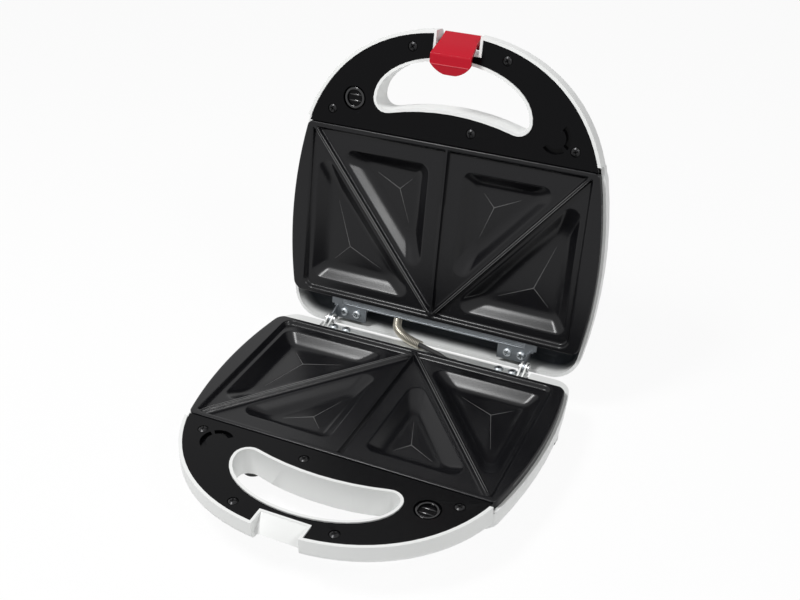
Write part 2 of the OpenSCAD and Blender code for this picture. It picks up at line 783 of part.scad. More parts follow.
module cooking_plate() {
    color([0.09, 0.09, 0.09]) difference() {
        union() {
            difference() {
                slab(plate_outline(0), -half_gap, plate_under);
                intersection() {
                    loft([field_ring(-2), field_ring(field_slope)], [-half_gap + field_drop, field_z]);
                    slab(plate_outline(1.2), 5, -far);
                }
            }
            for (s = [0, 1]) mirror([s, 0, 0]) {
                pocket_form(outer_pocket, casting);
                pocket_form(inner_pocket, casting);
                ridge(ridge_start, ridge_end, ridge_w, ridge_w * 0.45);
            }
            ridge([0, -field_border], [0, -plate_depth + field_border], mid_ridge_w, 1.2);
            for (p = plate_screws) rod(p, 4, plate_under + eps, shield_top + 0.05);
            rod([0, heater_y], thermostat_r, plate_under + eps, shield_top - 0.1);
        }
        for (s = [0, 1]) mirror([s, 0, 0]) {
            pocket_form(outer_pocket, 0);
            pocket_form(inner_pocket, 0);
        }
        for (p = plate_screws) translate([p.x, p.y, shield_top - 1])
            cylinder(r = shank_r + shank_play, h = 9);
    }
}

module plate_screw_set() {
    color("silver") for (p = plate_screws)
        translate([p.x, p.y, shield_under]) rotate([180, 0, 0]) screw(7);
}

// ---- heat shields, heaters and thermostats ----------------------------------

// Tray under the plate with ears under the handle plate
module heat_shield() {
    color("lightsteelblue") difference() {
        union() {
            difference() {
                slab(plate_outline(shield_inset), tray_top, shield_under);
                slab(plate_outline(shield_inset + shield_t), 5, shield_top);
            }
            for (p = clamp_screws) box_at([p.x - 5, p.y - 5, tray_top - shield_t],
                [p.x + 5, -plate_depth + shield_inset + 2 * shield_t, tray_top]);
        }
        for (p = clamp_screws) rod(p, shank_r + 0.25, 5, -far);
        for (p = plate_screws) rod(p, shank_r + 0.25, 5, -far);
        rod([0, heater_y], thermostat_r + 0.3, 5, -far);
        for (s = [-1, 1]) rod([heater_x, heater_y + s * heater_bend], heater_r + 0.6, 5, -far);
    }
}

// Rear flange of the base's shield, clamped under the rail
module base_heat_shield() {
    on_table() union() {
        heat_shield();
        color("lightsteelblue") shield_flange(base_screw_y, flange_under, rail_under - 0.05);
    }
}

module shield_flange(screw_y, under, top) {
    difference() {
        box_at([-rail_half_l + 4, -shield_inset - shield_t, under], [rail_half_l - 4, rail_rear - 0.6, top]);
        for (x = rail_screw_x) rod([x, screw_y], shank_r + 0.25, 5, -far);
        for (s = [-1, 1]) box_at([s * hinge_x - 6, 1, -far], [s * hinge_x + 6, far, 5]);
        lead_slot();
    }
}

// U-shaped tube with its two cold ends turned down through the shield
module heating_element() {
    color([0.35, 0.36, 0.38]) {
        translate([-heater_x + heater_bend, heater_y, heater_z]) rotate([0, 0, 90])
            rotate_extrude(angle = 180) translate([heater_bend, 0]) circle(r = heater_r);
        for (s = [-1, 1]) {
            rod_x(heater_y + s * heater_bend, heater_z, heater_r, -heater_x + heater_bend, heater_x);
            translate([heater_x, heater_y + s * heater_bend, heater_z]) sphere(r = heater_r);
            rod([heater_x, heater_y + s * heater_bend], heater_r, heater_z, shield_under - 1);
            rod([heater_x, heater_y + s * heater_bend], 1.2, heater_z, shield_under - 6);
        }
    }
}

// Disc thermostat with its two blades
module thermostat() {
    top = shield_top - 0.2;
    color([0.75, 0.7, 0.6]) union() {
        rod([0, heater_y], thermostat_r, top, top - thermostat_h);
        for (s = [-1, 1]) box_at([s * 5.5 - 0.4, heater_y - 3, top - thermostat_h - 1],
            [s * 5.5 + 0.4, heater_y + 3, top - thermostat_h + eps]);
    }
}

// ---- hinges -----------------------------------------------------------------

// Upright ear round the hinge line, with its foot on the rail
module ear(x, foot_y0, foot_y1, foot_z) {
    translate([x - steel / 2, 0, 0]) rotate([90, 0, 90]) linear_extrude(steel) difference() {
        union() {
            translate([hinge_y, hinge_z]) circle(r = ear_r);
            polygon([[foot_y0, foot_z], [foot_y1, foot_z],
                [hinge_y + ear_r * 0.7, hinge_z + ear_r * 0.7 * sign(foot_z - hinge_z)],
                [hinge_y - ear_r * 0.7, hinge_z - ear_r * 0.7 * sign(foot_z - hinge_z)]]);
        }
        translate([hinge_y, hinge_z]) circle(r = pin_r + pin_play);
    }
}

module rail_holes(y) {
    for (x = rail_screw_x) rod([x, y], shank_r + 0.25, 5, -far);
}

module base_hinge_rail() {
    color("gainsboro") on_table() difference() {
        union() {
            box_at([-rail_half_l, rail_front, rail_under], [rail_half_l, rail_rear, rail_top]);
            for (s = [-1, 1], k = [-1, 1]) base_ear(s * hinge_x + k * (steel + ear_gap));
        }
        for (s = [-1, 1]) box_at([s * hinge_x - steel / 2 - ear_gap, hinge_y - ear_r - 0.8, -far],
            [s * hinge_x + steel / 2 + ear_gap, far, 5]);
        rail_holes(base_screw_y);
        lead_slot();
    }
}

// Slot where the link lead dives behind the plate
module lead_slot() {
    box_at([14, 0.4, -far], [28, 6.4, 5]);
}

// Ear of the base: a strap from the rail back to the hinge line
module base_ear(x) {
    translate([x - steel / 2, 0, 0]) rotate([90, 0, 90]) linear_extrude(steel) difference() {
        union() {
            translate([hinge_y, hinge_z]) circle(r = ear_r);
            polygon([[rail_front + 3, rail_under], [hinge_y, hinge_z - ear_r],
                [hinge_y, hinge_z + ear_r], [hinge_y - ear_r, hinge_z + ear_r * 0.6],
                [rail_front + 3, rail_top]]);
        }
        translate([hinge_y, hinge_z]) circle(r = pin_r + pin_play);
    }
}

// Rail of the lid, in the lid's own closed place
module lid_hinge_rail() {
    color("gainsboro") on_lid() difference() {
        union() {
            box_at([-rail_half_l, rail_front - 0.6, -rail_top], [rail_half_l, 6.4, -rail_under]);
            for (s = [-1, 1]) {
                box_at([s > 0 ? hinge_x - 23.6 : -rail_half_l + 2, rail_front, -rail_top],
                    [s > 0 ? rail_half_l - 2 : -hinge_x + 23.6, 16.6, -rail_under]);
                lid_ear(s * hinge_x);
            }
        }
        for (x = rail_screw_x) rod([x, lid_screw_y], shank_r + 0.25, far, -5);
        for (s = [-1, 1]) box_at([s * hinge_x + (s > 0 ? steel / 2 : -far), 8, -rail_top - 1],
            [s * hinge_x + (s > 0 ? far : -steel / 2), far, -rail_under + 1]);
    }
}

// Ear of the lid: a strap from its rail down to the hinge line
module lid_ear(x) {
    translate([x - steel / 2, 0, 0]) rotate([90, 0, 90]) linear_extrude(steel) difference() {
        union() {
            translate([hinge_y, hinge_z]) circle(r = ear_r);
            polygon([[hinge_y - ear_r, hinge_z], [hinge_y + ear_r, hinge_z],
                [hinge_y + ear_r * 0.4, -rail_under], [7, -rail_under], [7, -rail_top]]);
        }
        translate([hinge_y, hinge_z]) circle(r = pin_r + pin_play);
    }
}

module hinge_pins() {
    half = steel * 1.5 + ear_gap + 0.2;
    color("silver") on_table() for (s = [-1, 1]) {
        rod_x(hinge_y, hinge_z, pin_r, s * hinge_x - half, s * hinge_x + half);
        for (k = [-1, 1]) rod_x(hinge_y, hinge_z, pin_r + 1.2,
            s * hinge_x + k * half - (k < 0 ? 1 : 0), s * hinge_x + k * half + (k < 0 ? 0 : 1));
    }
}

module base_rail_screws() {
    color("silver") on_table() for (x = rail_screw_x)
        translate([x, base_screw_y, rail_top]) rotate([0, 0, x * 5]) screw(screw_l);
}

module lid_rail_screws() {
    color("silver") lid_half() for (x = rail_screw_x)
        translate([x, lid_screw_y, rail_top]) rotate([0, 0, x * 5]) screw(screw_l);
}

// ---- small parts of the base ------------------------------------------------

module base_feet() {
    color([0.12, 0.12, 0.12]) on_table() for (p = foot_spots) union() {
        translate([p.x, p.y, -base_h]) cylinder(r1 = foot_r - 0.8, r2 = foot_r, h = foot_h);
        translate([p.x, p.y, -body_depth - eps]) cylinder(r = 2.5, h = wall + 1);
    }
}

module cord_grommet() {
    color([0.85, 0.85, 0.85]) on_table() translate([cord_x, base_rear, cord_z])
        rotate([-90, 0, 0]) difference() {
            union() {
                translate([0, 0, 0.05]) cylinder(r = grommet_r + 1.6, h = 2);
                translate([0, 0, -wall - 2]) cylinder(r = grommet_r - 0.1, h = wall + 3);
                translate([0, 0, -wall - 2.6]) cylinder(r = grommet_r + 1.2, h = 2.5);
            }
            translate([0, 0, -far / 2]) cylinder(r = cord_r, h = far);
        }
}

module terminal_block() {
    low = terminal_z;
    color([0.9, 0.88, 0.8]) on_table() difference() {
        box_at([cord_x - 15, terminal_y - 5, low], [cord_x + 15, terminal_y + 5, low + 8]);
        for (k = [-1:1]) {
            translate([cord_x + k * 9.5, terminal_y, low + 5.2]) cylinder(r = 2, h = 20);
            translate([cord_x + k * 9.5, 0, low + 2.6]) rotate([90, 0, 0]) cylinder(r = 1.5, h = 40);
        }
    }
}

module thermal_fuse() {
    color("khaki") on_table() union() {
        rod_x(fuse_y, fuse_z, 2, -62, -26);
        for (x = [-68, -26 - eps]) rod_x(fuse_y, fuse_z, 0.6, x, x + 6);
    }
}

fuse_y = heater_y;
fuse_z = shield_under - 2.6;

wire_z = shield_under - 4.4;
wire_r = 1.1;

module wire(points) {
    sweep(spline(points, 4), wire_r, 8, [0, 0, 1]);
}

module base_wiring() {
    color("firebrick") on_table() {
        wire([[cord_x + 9.5, terminal_y - 5.6, wire_z - 1], [cord_x + 12, terminal_y - 10, wire_z - 1],
            [heater_x - 14, heater_y + 22, wire_z - 0.5],
            [heater_x - 3.4, heater_y + heater_bend + 1, wire_z]]);
        wire([[cord_x, terminal_y - 5.6, wire_z - 1], [cord_x - 2, heater_y + 20, wire_z - 1],
            [32, heater_y + 8, wire_z - 1], [8.8, heater_y + 1, wire_z - 4.5]]);
        wire([[-8.8, heater_y, wire_z - 4.5], [-13, heater_y, wire_z - 1],
            [-18.6, fuse_y, fuse_z - 0.4]]);
        wire([[-69.4, fuse_y, fuse_z], [-heater_x + 4, fuse_y - 4, wire_z],
            [-heater_x + 10, fuse_y - 22, wire_z], [-heater_x / 2, fuse_y - 38, wire_z],
            [20, fuse_y - 42, wire_z], [heater_x - 20, fuse_y - 38, wire_z],
            [heater_x - 3.4, heater_y - heater_bend - 1, wire_z]]);
    }
}

// ---- small parts of the lid -------------------------------------------------

module lens(s, shade) {
    color(shade) lid_half() translate([s * lens_x, lens_y, -lid_h]) union() {
        translate([0, 0, -1.2]) cylinder(r1 = lens_r - 1, r2 = lens_r, h = 1.2);
        translate([0, 0, -eps]) cylinder(r = lens_r, h = wall + 0.3);
        translate([0, 0, wall + 0.22]) cylinder(r = lens_r + 1, h = 0.8);
    }
}

module power_lamp_lens() {
    lens(-1, "red");
}

module ready_lamp_lens() {
    lens(1, "green");
}

module lamp_holder() {
    z = -lid_h + wall + 1.1;
    color([0.9, 0.88, 0.8]) lid_half() union() {
        box_at([-lens_x - 5, lens_y - 5, z + 4], [lens_x + 5, lens_y + 5, z + 5.4]);
        for (s = [-1, 1]) {
            translate([s * lens_x, lens_y, z]) cylinder(r = 1.8, h = 4 + eps);
            box_at([s * (lens_x + 4.2) - 0.7, lens_y - 5, z - 0.9],
                [s * (lens_x + 4.2) + 0.7, lens_y - 3.5, z + 4 + eps]);
        }
    }
}

module lid_wiring() {
    color("firebrick") lid_half() {
        wire([[26, -6, wire_z], [34, -20, wire_z], [heater_x - 20, heater_y + 34, wire_z],
            [heater_x - 3.4, heater_y + heater_bend + 1, wire_z]]);
        wire([[23, -6, wire_z], [20, -30, wire_z - 1], [8.8, heater_y + 1, wire_z - 4.5]]);
        wire([[-8.8, heater_y, wire_z - 4.5], [-17, heater_y - 4, wire_z - 3],
            [-24, heater_y - 20, wire_z], [0, heater_y - 36, wire_z],
            [heater_x - 30, heater_y - 36, wire_z],
            [heater_x - 3.4, heater_y - heater_bend - 1, wire_z]]);
    }
}

// ---- latch ------------------------------------------------------------------

module latch_pin() {
    color("silver") on_lid()
        rod_x(latch_pin_y, latch_pin_z, latch_pin_r, -notch_half_w - 1.1, notch_half_w + 1.1);
}

// Side view of the upright latch about its pin, first value y and second z
function latch_side() =
    let (o = -latch_in - latch_t, d = latch_drop)
    [[o + 1.6, 5], [o + 0.5, 4.9], [o, 4], [o, -d + 0.9], [o + 0.3, -d - 0.1], [o + 1.1, -d - 0.8],
     [o + 6.5, -d - 3.8], [o + 11.9, -d - 5.8], [o + 12.4, -d - 5.4], [o + 12.4, -d - 4.1],
     [o + 11.7, -d - 3.6], [o + 6.9, -d - 1.6], [o + 2.9, -d + 0.7], [o + 2.3, -d + 1.4],
     [-latch_in, -d + 2.3], [-latch_in, 3.6]];

// Upright latch about its pin
module latch_form() {
    tip = -latch_in - latch_t + 12.4;
    intersection() {
        rotate([90, 0, 90]) translate([0, 0, -latch_hook_half_w])
            linear_extrude(2 * latch_hook_half_w) polygon(latch_side());
        rotate([90, 0, 0]) translate([0, 0, -40]) linear_extrude(80) polygon([
            [-latch_half_w, 20], [latch_half_w, 20], [latch_half_w, -6],
            [latch_hook_half_w, -latch_drop], [latch_hook_half_w, -latch_drop - 9],
            [-latch_hook_half_w, -latch_drop - 9], [-latch_hook_half_w, -latch_drop],
            [-latch_half_w, -6]]);
        union() {
            box_at([-far, -far, -far], [far, -latch_in + 1, far]);
            translate([0, tip - hook_round, -far / 2]) cylinder(r = hook_round, h = far, $fn = 96);
        }
    }
    rod_x(0, 0, latch_barrel_r, -latch_barrel, latch_barrel);
    box_at([-latch_barrel, -latch_in - 0.5, -1.2], [latch_barrel, 0, 1.2]);
    for (s = [-1, 1]) box_at([s * latch_cheek - 0.9, -latch_in - 0.5, -2.4],
        [s * latch_cheek + 0.9, 2.2, 2.4]);
}

// Leaning inwards, as its spring holds it while the lid is open
module latch() {
    color([0.75, 0.05, 0.1]) on_lid() translate([0, latch_pin_y, latch_pin_z])
        rotate([latch_lean, 0, 0]) difference() {
            latch_form();
            rod_x(0, 0, latch_pin_r + pin_play, -far, far);
        }
}

latch_barrel_r = 2.4;
latch_barrel = 6.6;
latch_cheek = latch_half_w - 1;
latch_coil_r = latch_pin_r + 0.35 + latch_wire;
latch_coil_x0 = latch_barrel + latch_wire + 0.2;
latch_coil_x1 = latch_cheek - 0.9 - latch_wire - 0.2;
latch_coil_path = [for (i = [0:8]) [latch_coil_x0 + (latch_coil_x1 - latch_coil_x0) * i / 8, 0, 0]];
latch_coil = helix(latch_coil_path, latch_coil_r, latch_curls, [0, 1, 0], 2.2 * latch_wire);

module latch_spring() {
    color("silver") on_lid() translate([0, latch_pin_y, latch_pin_z])
        sweep(latch_coil, latch_wire, 6, [1, 0, 0]);
}

// ---- link lead --------------------------------------------------------------

// Route of the lead from the lid's inside to the base's inside, in the open pose
link_route = [
    [-27, 34, 3.5], [-27, 30, 2], [-26, 26, 0.5], [-24, 21, -0.5], [-20, 16.5, -1], [-14, 12.5, -1.4],
    [-6, 9.5, -1.6], [3, 7, -1.7], [11, 5, -2.3], [18, 3.8, -3.6], [23, 3.6, -7], [24, 3.6, -14]];
link_path = spline(link_route, 3);
sleeve_path = [for (i = [2:20]) link_path[i]];
sleeve_helix = helix(sleeve_path, sleeve_r, sleeve_curls, [0, 0, 1], 2.2 * sleeve_wire);

echo(origin_y = origin_y);
echo(sleeve_gap = self_gap(sleeve_helix, sleeve_wire));
echo(latch_spring_gap = self_gap(latch_coil, latch_wire));

module link_lead() {
    color([0.15, 0.15, 0.15]) on_table() sweep(link_path, lead_r, 8, [0, 0, 1]);
}

module link_spring_sleeve() {
    color([0.75, 0.73, 0.68]) on_table() sweep(sleeve_helix, sleeve_wire, 6, [1, 0, 0]);
}

// ---- nodes that only place a shared form ------------------------------------

module base_handle_plate() {
    on_table() handle_plate();
}

module base_cooking_plate() {
    on_table() cooking_plate();
}

module base_heating_element() {
    on_table() heating_element();
}

module base_thermostat() {
    on_table() thermostat();
}

module base_cover_screws() {
    on_table() cover_screw_set();
}

module base_plate_screws() {
    on_table() plate_screw_set();
}

module lid_handle_plate() {
    lid_half() handle_plate();
}

module lid_cooking_plate() {
    lid_half() cooking_plate();
}

module lid_heat_shield() {
    lid_half() heat_shield();
}

module lid_heating_element() {
    lid_half() heating_element();
}

module lid_thermostat() {
    lid_half() thermostat();
}

module lid_cover_screws() {
    lid_half() cover_screw_set();
}

module lid_plate_screws() {
    lid_half() plate_screw_set();
}

base_housing();
base_handle_plate();
base_cooking_plate();
base_heat_shield();
base_heating_element();
base_thermostat();
base_hinge_rail();
base_cover_screws();
base_rail_screws();
base_plate_screws();
base_feet();
cord_grommet();
terminal_block();
thermal_fuse();
base_wiring();
hinge_pins();
lid_housing();
lid_handle_plate();
lid_cooking_plate();
lid_heat_shield();
lid_heating_element();
lid_thermostat();
lid_hinge_rail();
lid_cover_screws();
lid_rail_screws();
lid_plate_screws();
lid_wiring();
power_lamp_lens();
ready_lamp_lens();
lamp_holder();
latch_pin();
latch_spring();
latch();
link_lead();
link_spring_sleeve();
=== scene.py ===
"""Sandwich toaster standing open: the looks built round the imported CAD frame."""

import json
import math

import bmesh
import bpy
import numpy as np
from bpy.props import FloatProperty, FloatVectorProperty, IntProperty, PointerProperty
from mathutils import Matrix, Vector


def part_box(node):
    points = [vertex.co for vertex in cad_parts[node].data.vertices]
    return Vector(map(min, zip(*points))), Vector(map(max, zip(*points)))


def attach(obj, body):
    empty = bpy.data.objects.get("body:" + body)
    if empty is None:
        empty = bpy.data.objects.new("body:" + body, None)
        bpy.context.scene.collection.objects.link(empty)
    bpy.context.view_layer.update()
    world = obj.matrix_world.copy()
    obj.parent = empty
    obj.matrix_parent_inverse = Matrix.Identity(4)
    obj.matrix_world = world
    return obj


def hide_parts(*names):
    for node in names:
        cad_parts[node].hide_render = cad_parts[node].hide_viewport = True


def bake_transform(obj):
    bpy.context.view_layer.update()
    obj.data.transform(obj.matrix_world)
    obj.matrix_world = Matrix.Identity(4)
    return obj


bl_info = {
    "name": "Sandwich toaster",
    "version": (1, 0, 0),
    "blender": (4, 5, 0),
    "location": "View3D > Sidebar > Toaster",
    "description": "Builds the looks of an open sandwich toaster round its CAD frame",
    "category": "Object",
}

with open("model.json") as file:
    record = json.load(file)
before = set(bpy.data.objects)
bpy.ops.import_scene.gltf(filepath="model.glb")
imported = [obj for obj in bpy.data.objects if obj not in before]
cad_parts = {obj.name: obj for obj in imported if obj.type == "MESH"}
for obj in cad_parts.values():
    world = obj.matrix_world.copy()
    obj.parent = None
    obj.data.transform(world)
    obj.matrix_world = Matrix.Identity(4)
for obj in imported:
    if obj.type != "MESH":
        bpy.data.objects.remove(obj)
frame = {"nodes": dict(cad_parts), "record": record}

MM = 0.001
NODES = frame["nodes"]
RECORD = frame["record"]
HINGE = next(j for j in RECORD["behaviour"]["joints"] if j["name"] == "lid_hinge")
HINGE_AT = np.array(HINGE["pos_m"])
LID_OPEN = math.radians(HINGE["range_deg"][1])

# The half frame of both cooking plates: x to the right, y = 0 at the plate's rear
# edge, z = 0 in the plane where the closed halves meet. All its values are in mm.
HALF_GAP = 0.25

# Outline of a cooking plate. Its sides bow out on a circle and are widest at
# SIDE_WIDEST from the rear edge. The face is eased down along its edges, and the back
# is set in below the rim.
PLATE_DEPTH = 127.0
PLATE_HALF_W = 113.4
SIDE_RADIUS = 309.0
SIDE_WIDEST = 54.0
REAR_CORNER = 6.0
FRONT_CORNER = 3.0
EDGE_ROUND = 0.6
EDGE_DROP = 0.5
RIM_H = 5.2
BACK_INSET = 5.8
BACK_Z = -12.4

# Field inside the plate's border. A step is the width over which the face sinks beside
# the border, the slanting ridges or the middle ridge. RIDGE_END is the left ridge's
# front end.
FIELD_HALF_W = 101.5
FIELD_BORDER = 2.9
FIELD_CORNER = 7.0
FIELD_DROP = 3.0
FIELD_STEP = 2.4
RIDGE_HALF_W = 0.7
RIDGE_STEP = 1.3
MIDDLE_HALF_W = 0.5
MIDDLE_STEP = 1.1
RIDGE_END = (-99.6, -PLATE_DEPTH + FIELD_BORDER + 0.4)

# Pockets: depth, width of the wall, rounding, distance from the slanting ridge, and
# distances of the sides from the middle and from the plate's rear and front. The slope
# of the wall grows over the share WALL_LIP of its width and is even up to WALL_EVEN. It
# begins a share WALL_START in, so that the lip isn't flat.
POCKET_DROP = 7.0
POCKET_SLOPE = 12.0
POCKET_CORNER = 6.5
POCKET_GAP = 5.0
POCKET_OUT_X = 96.4
POCKET_REAR_Y = 11.4
POCKET_IN_X = 12.4
POCKET_FRONT_Y = 16.0
WALL_LIP = 0.12
WALL_EVEN = 0.32
WALL_START = 0.03

# Crease lines: the share of the way to a floor's corners that they reach, and how far
# the lines beside a ridge stop short of the field's ends.
CREASE_REACH = 0.8
CREASE_END_GAP = 3.0
BEAD_SIDES = 8

# Hollow of a housing, whose inner faces get painted shade: a place that they look at,
# the depth they start at, and the depth from which the painted shade starts and over which it grows.
HOLLOW_CENTRE = (0.0, -60.0, -8.0)
HOLLOW_TOP = 6.0
SHADE_FROM = 7.0
SHADE_OVER = 12.0

# Ring and bars in the round recess of a handle plate, whose face lies COVER_DROP below
# the plane where the halves meet.
COVER_DROP = 1.0
RECESS_AT = (71.0, -PLATE_DEPTH - 21.0, 0.0)
RING_INNER, RING_OUTER = 5.75, 7.15
RING_LOW, RING_HIGH = -COVER_DROP - 1.0, -COVER_DROP - 0.2
BAR_HALF_L = 4.6
BAR_RADIUS = 0.75
BAR_Y = 2.1
BAR_Z = -COVER_DROP - 1.7

# Ribs on the lid's rail, on the strip behind the plate.
RAIL_TOP = -4.7
RIB_HALF_L = 71.0
RIB_FROM_Y, RIB_TO_Y = 1.1, 6.2
RIB_H = 0.35
RIB_SHEET = 0.2

# Washers between the ears of the hinges, one on each side of the lid's ear.
HINGE_X = 74.6
EAR_GAP_MID = 0.85
WASHER_HALF_T = 0.2
WASHER_INNER, WASHER_OUTER = 1.95, 3.8

# Ridge across the latch's hook: the pin in the closed lid's place, and the ridge
# beside the pin while the latch stands upright, as y and z.
LATCH_PIN = (-194.6, 8.4)
LATCH_LEAN = 30.0
LATCH_RIDGE = (1.6, -22.95)
LATCH_RIDGE_HALF_L = 12.9
LATCH_RIDGE_RADIUS = 0.3

# The link lead's route, from the lid's inside to the base's, with the lid open. Its
# sleeve covers a stretch of it, and it bends between two points across the hinge
# line, so it stays above the base's rim.
LINK_ROUTE = [
    (-27, 34, 3.5), (-27, 30, 2), (-26, 26, 0.5), (-24, 21, -0.5), (-20, 16.5, -1),
    (-14, 12.5, -1.4), (-6, 9.5, -1.6), (3, 7, -1.7), (11, 5, -2.3), (18, 3.8, -3.6),
    (23, 3.6, -7), (24, 3.6, -14)]
SLEEVE_FROM, SLEEVE_TO = 2 / 33, 20 / 33

UP = (0.0, 0.0, 1.0)
PLATE_AT = np.array(
    [0.0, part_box("base_cooking_plate")[1].y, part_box("base_cooking_plate")[1].z + HALF_GAP * MM])

HALVES = (("base", False), ("lid", True))

# Softboxes in m: place, target, size and direction of the long side.
OVERHEAD = ((-0.36, -0.39, 1.03), (0.0, 0.06, 0.05), (0.22, 0.34), (0.0, 0.46, 0.23))
FRONT = ((0.91, -0.47, 1.02), (0.0, 0.05, 0.12), (0.3, 0.3), UP)
FLOOR_HALF = 4.0
FLOOR_SHADE = 0.9

# Broad mottle of every finish: its noise scale for a metre, and its darkest share of
# the colour. A housing's hollow is painted darker, towards the shade colour below, as it gets deeper.
MOTTLE_SCALE = 28.0
MOTTLE_DIM = 0.93
# Painted shade deep in a housing's hollow, a bluish dark grey.
HOLLOW_SHADE_COLOUR = (0.035, 0.042, 0.05, 1.0)

# Finish of each material slot: colour, roughness, metallic, grain size and depth in
# mm, spread of the roughness, and the shader sockets that differ from their defaults.
FINISHES = {
    "white_plastic": ((0.83, 0.84, 0.83), 0.34, 0.0, 0.5, 0.006, 0.06, {}),
    "black_plastic": ((0.002, 0.002, 0.0025), 0.24, 0.0, 0.45, 0.006, 0.06,
                      {"Specular IOR Level": 0.09}),
    "polished_black": ((0.006, 0.006, 0.007), 0.14, 0.0, 0.5, 0.003, 0.04,
                       {"Specular IOR Level": 0.6}),
    "non_stick_casting": ((0.004, 0.004, 0.005), 0.25, 0.0, 0.7, 0.008, 0.08,
                          {"Specular IOR Level": 0.28}),
    # Light grey of the crease and ridge beads: a painted highlight, not a colour of the coating.
    "worn_crease": ((0.17, 0.17, 0.17), 0.3, 0.3, 0.4, 0.004, 0.05, {}),
    "shield_sheet": ((0.62, 0.63, 0.64), 0.38, 1.0, 0.8, 0.01, 0.1, {}),
    "heater_tube": ((0.16, 0.155, 0.15), 0.55, 0.8, 0.4, 0.01, 0.1, {}),
    "ceramic": ((0.8, 0.77, 0.69), 0.6, 0.0, 0.5, 0.01, 0.05, {}),
    "galvanised_steel": ((0.7, 0.71, 0.7), 0.42, 0.75, 2.5, 0.003, 0.14, {}),
    "dull_zinc": ((0.27, 0.29, 0.31), 0.4, 1.0, 2.0, 0.004, 0.14, {}),
    "zinc_screw": ((0.45, 0.48, 0.5), 0.36, 1.0, 0.6, 0.003, 0.1, {}),
    "sleeve_wire": ((0.52, 0.49, 0.42), 0.32, 0.9, 0.6, 0.003, 0.08, {}),
    "bright_steel": ((0.72, 0.72, 0.73), 0.2, 1.0, 0.6, 0.003, 0.08, {}),
    "black_screw": ((0.008, 0.008, 0.009), 0.3, 0.5, 0.4, 0.006, 0.08, {}),
    "rubber_black": ((0.02, 0.02, 0.02), 0.72, 0.0, 0.35, 0.02, 0.08, {}),
    "grey_plastic": ((0.5, 0.5, 0.49), 0.45, 0.0, 0.5, 0.01, 0.06, {}),
    "wire_red": ((0.38, 0.03, 0.02), 0.5, 0.0, 0.5, 0.01, 0.06, {}),
    "fuse_sleeve": ((0.62, 0.56, 0.36), 0.8, 0.0, 0.5, 0.05, 0.05, {}),
    "red_plastic": ((0.45, 0.005, 0.018), 0.3, 0.0, 0.5, 0.005, 0.06,
                    {"Specular IOR Level": 0.12, "Coat Weight": 0.12,
                     "Coat Roughness": 0.1}),
    # A lighter red than the latch's plastic: a painted highlight along its ridge.
    "red_ridge": ((0.6, 0.05, 0.07), 0.3, 0.0, 0.5, 0.004, 0.06, {}),
    "red_lens": ((0.7, 0.03, 0.02), 0.12, 0.0, 0.6, 0.002, 0.02,
                 {"Transmission Weight": 0.7, "IOR": 1.49}),
    "green_lens": ((0.04, 0.5, 0.1), 0.12, 0.0, 0.6, 0.002, 0.02,
                   {"Transmission Weight": 0.7, "IOR": 1.49}),
}


# ---- placing and meshing ----------------------------------------------------


def in_row(points, lid):
    """Half-frame points in mm to metres in the row frame.

    The lid's are turned over about the y axis, then swung open about the hinge line
    by the opening angle.
    """
    p = np.asarray(points, float) * MM
    if lid:
        p = p * (-1.0, 1.0, -1.0)
    p = p + PLATE_AT
    if lid:
        y, z = p[..., 1] - HINGE_AT[1], p[..., 2] - HINGE_AT[2]
        c, s = math.cos(LID_OPEN), math.sin(LID_OPEN)
        p = np.stack([p[..., 0], HINGE_AT[1] + y * c + z * s, HINGE_AT[2] - y * s + z * c], -1)
    return p


def in_half(points, lid):
    """Row-frame points in metres to half-frame points in mm, the inverse of in_row."""
    p = np.asarray(points, float)
    if lid:
        y, z = p[..., 1] - HINGE_AT[1], p[..., 2] - HINGE_AT[2]
        c, s = math.cos(LID_OPEN), math.sin(LID_OPEN)
        p = np.stack([p[..., 0], HINGE_AT[1] + y * c - z * s, HINGE_AT[2] + y * s + z * c], -1)
    p = (p - PLATE_AT) / MM
    return p * (-1.0, 1.0, -1.0) if lid else p


def grid_faces(rows, cols, wrap=False):
    """Quads of a rows by cols grid of points; wrap joins the last column to the first."""
    i, j = np.meshgrid(np.arange(rows - 1), np.arange(cols if wrap else cols - 1), indexing="ij")
    k = (j + 1) % cols
    quads = np.stack([i * cols + j, (i + 1) * cols + j, (i + 1) * cols + k, i * cols + k], -1)
    return quads.reshape(-1, 4)


def make_piece(name, points, faces, slot, body=None, sharp=35.0):
    """A mesh object from points in metres and a list of faces, smooth below the sharp angle."""
    mesh = bpy.data.meshes.new(name)
    mesh.from_pydata(np.asarray(points).reshape(-1, 3).tolist(), [], [list(f) for f in faces])
    mesh.shade_smooth()
    mesh.set_sharp_from_angle(angle=math.radians(sharp))
    mesh.materials.append(finish(slot))
    piece = bpy.data.objects.new(name, mesh)
    bpy.context.collection.objects.link(piece)
    if body:
        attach(piece, body)
    return piece


def softened(node, name, slot, body, width, sharp=28.0, merge=0.004, flat=0.4):
    """A merged copy of a CAD node with its edges rounded, which stands for that node.

    The width of the rounding and the distance that merges points are in mm. Angles are
    in degrees: edges above sharp are rounded, and faces within flat become one. Very
    short edges in the mesh hold all of the rounding below the width that is asked for.
    """
    work = bmesh.new()
    work.from_mesh(NODES[node].data)
    bmesh.ops.remove_doubles(work, verts=work.verts, dist=merge * MM)
    bmesh.ops.dissolve_limit(
        work, angle_limit=math.radians(flat), verts=work.verts, edges=work.edges)
    mesh = bpy.data.meshes.new(name)
    work.to_mesh(mesh)
    work.free()
    mesh.shade_smooth()
    mesh.set_sharp_from_angle(angle=math.radians(sharp))
    mesh.materials.clear()
    mesh.materials.append(finish(slot))
    piece = bpy.data.objects.new(name, mesh)
    bpy.context.collection.objects.link(piece)
    if width > 0:
        bevel = piece.modifiers.new("edges", "BEVEL")
        bevel.width = width * MM
        bevel.segments = 2
        bevel.limit_method = "ANGLE"
        bevel.angle_limit = math.radians(sharp)
        bevel.harden_normals = True
        bevel.use_clamp_overlap = True
    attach(piece, body)
    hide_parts(node)
    return piece


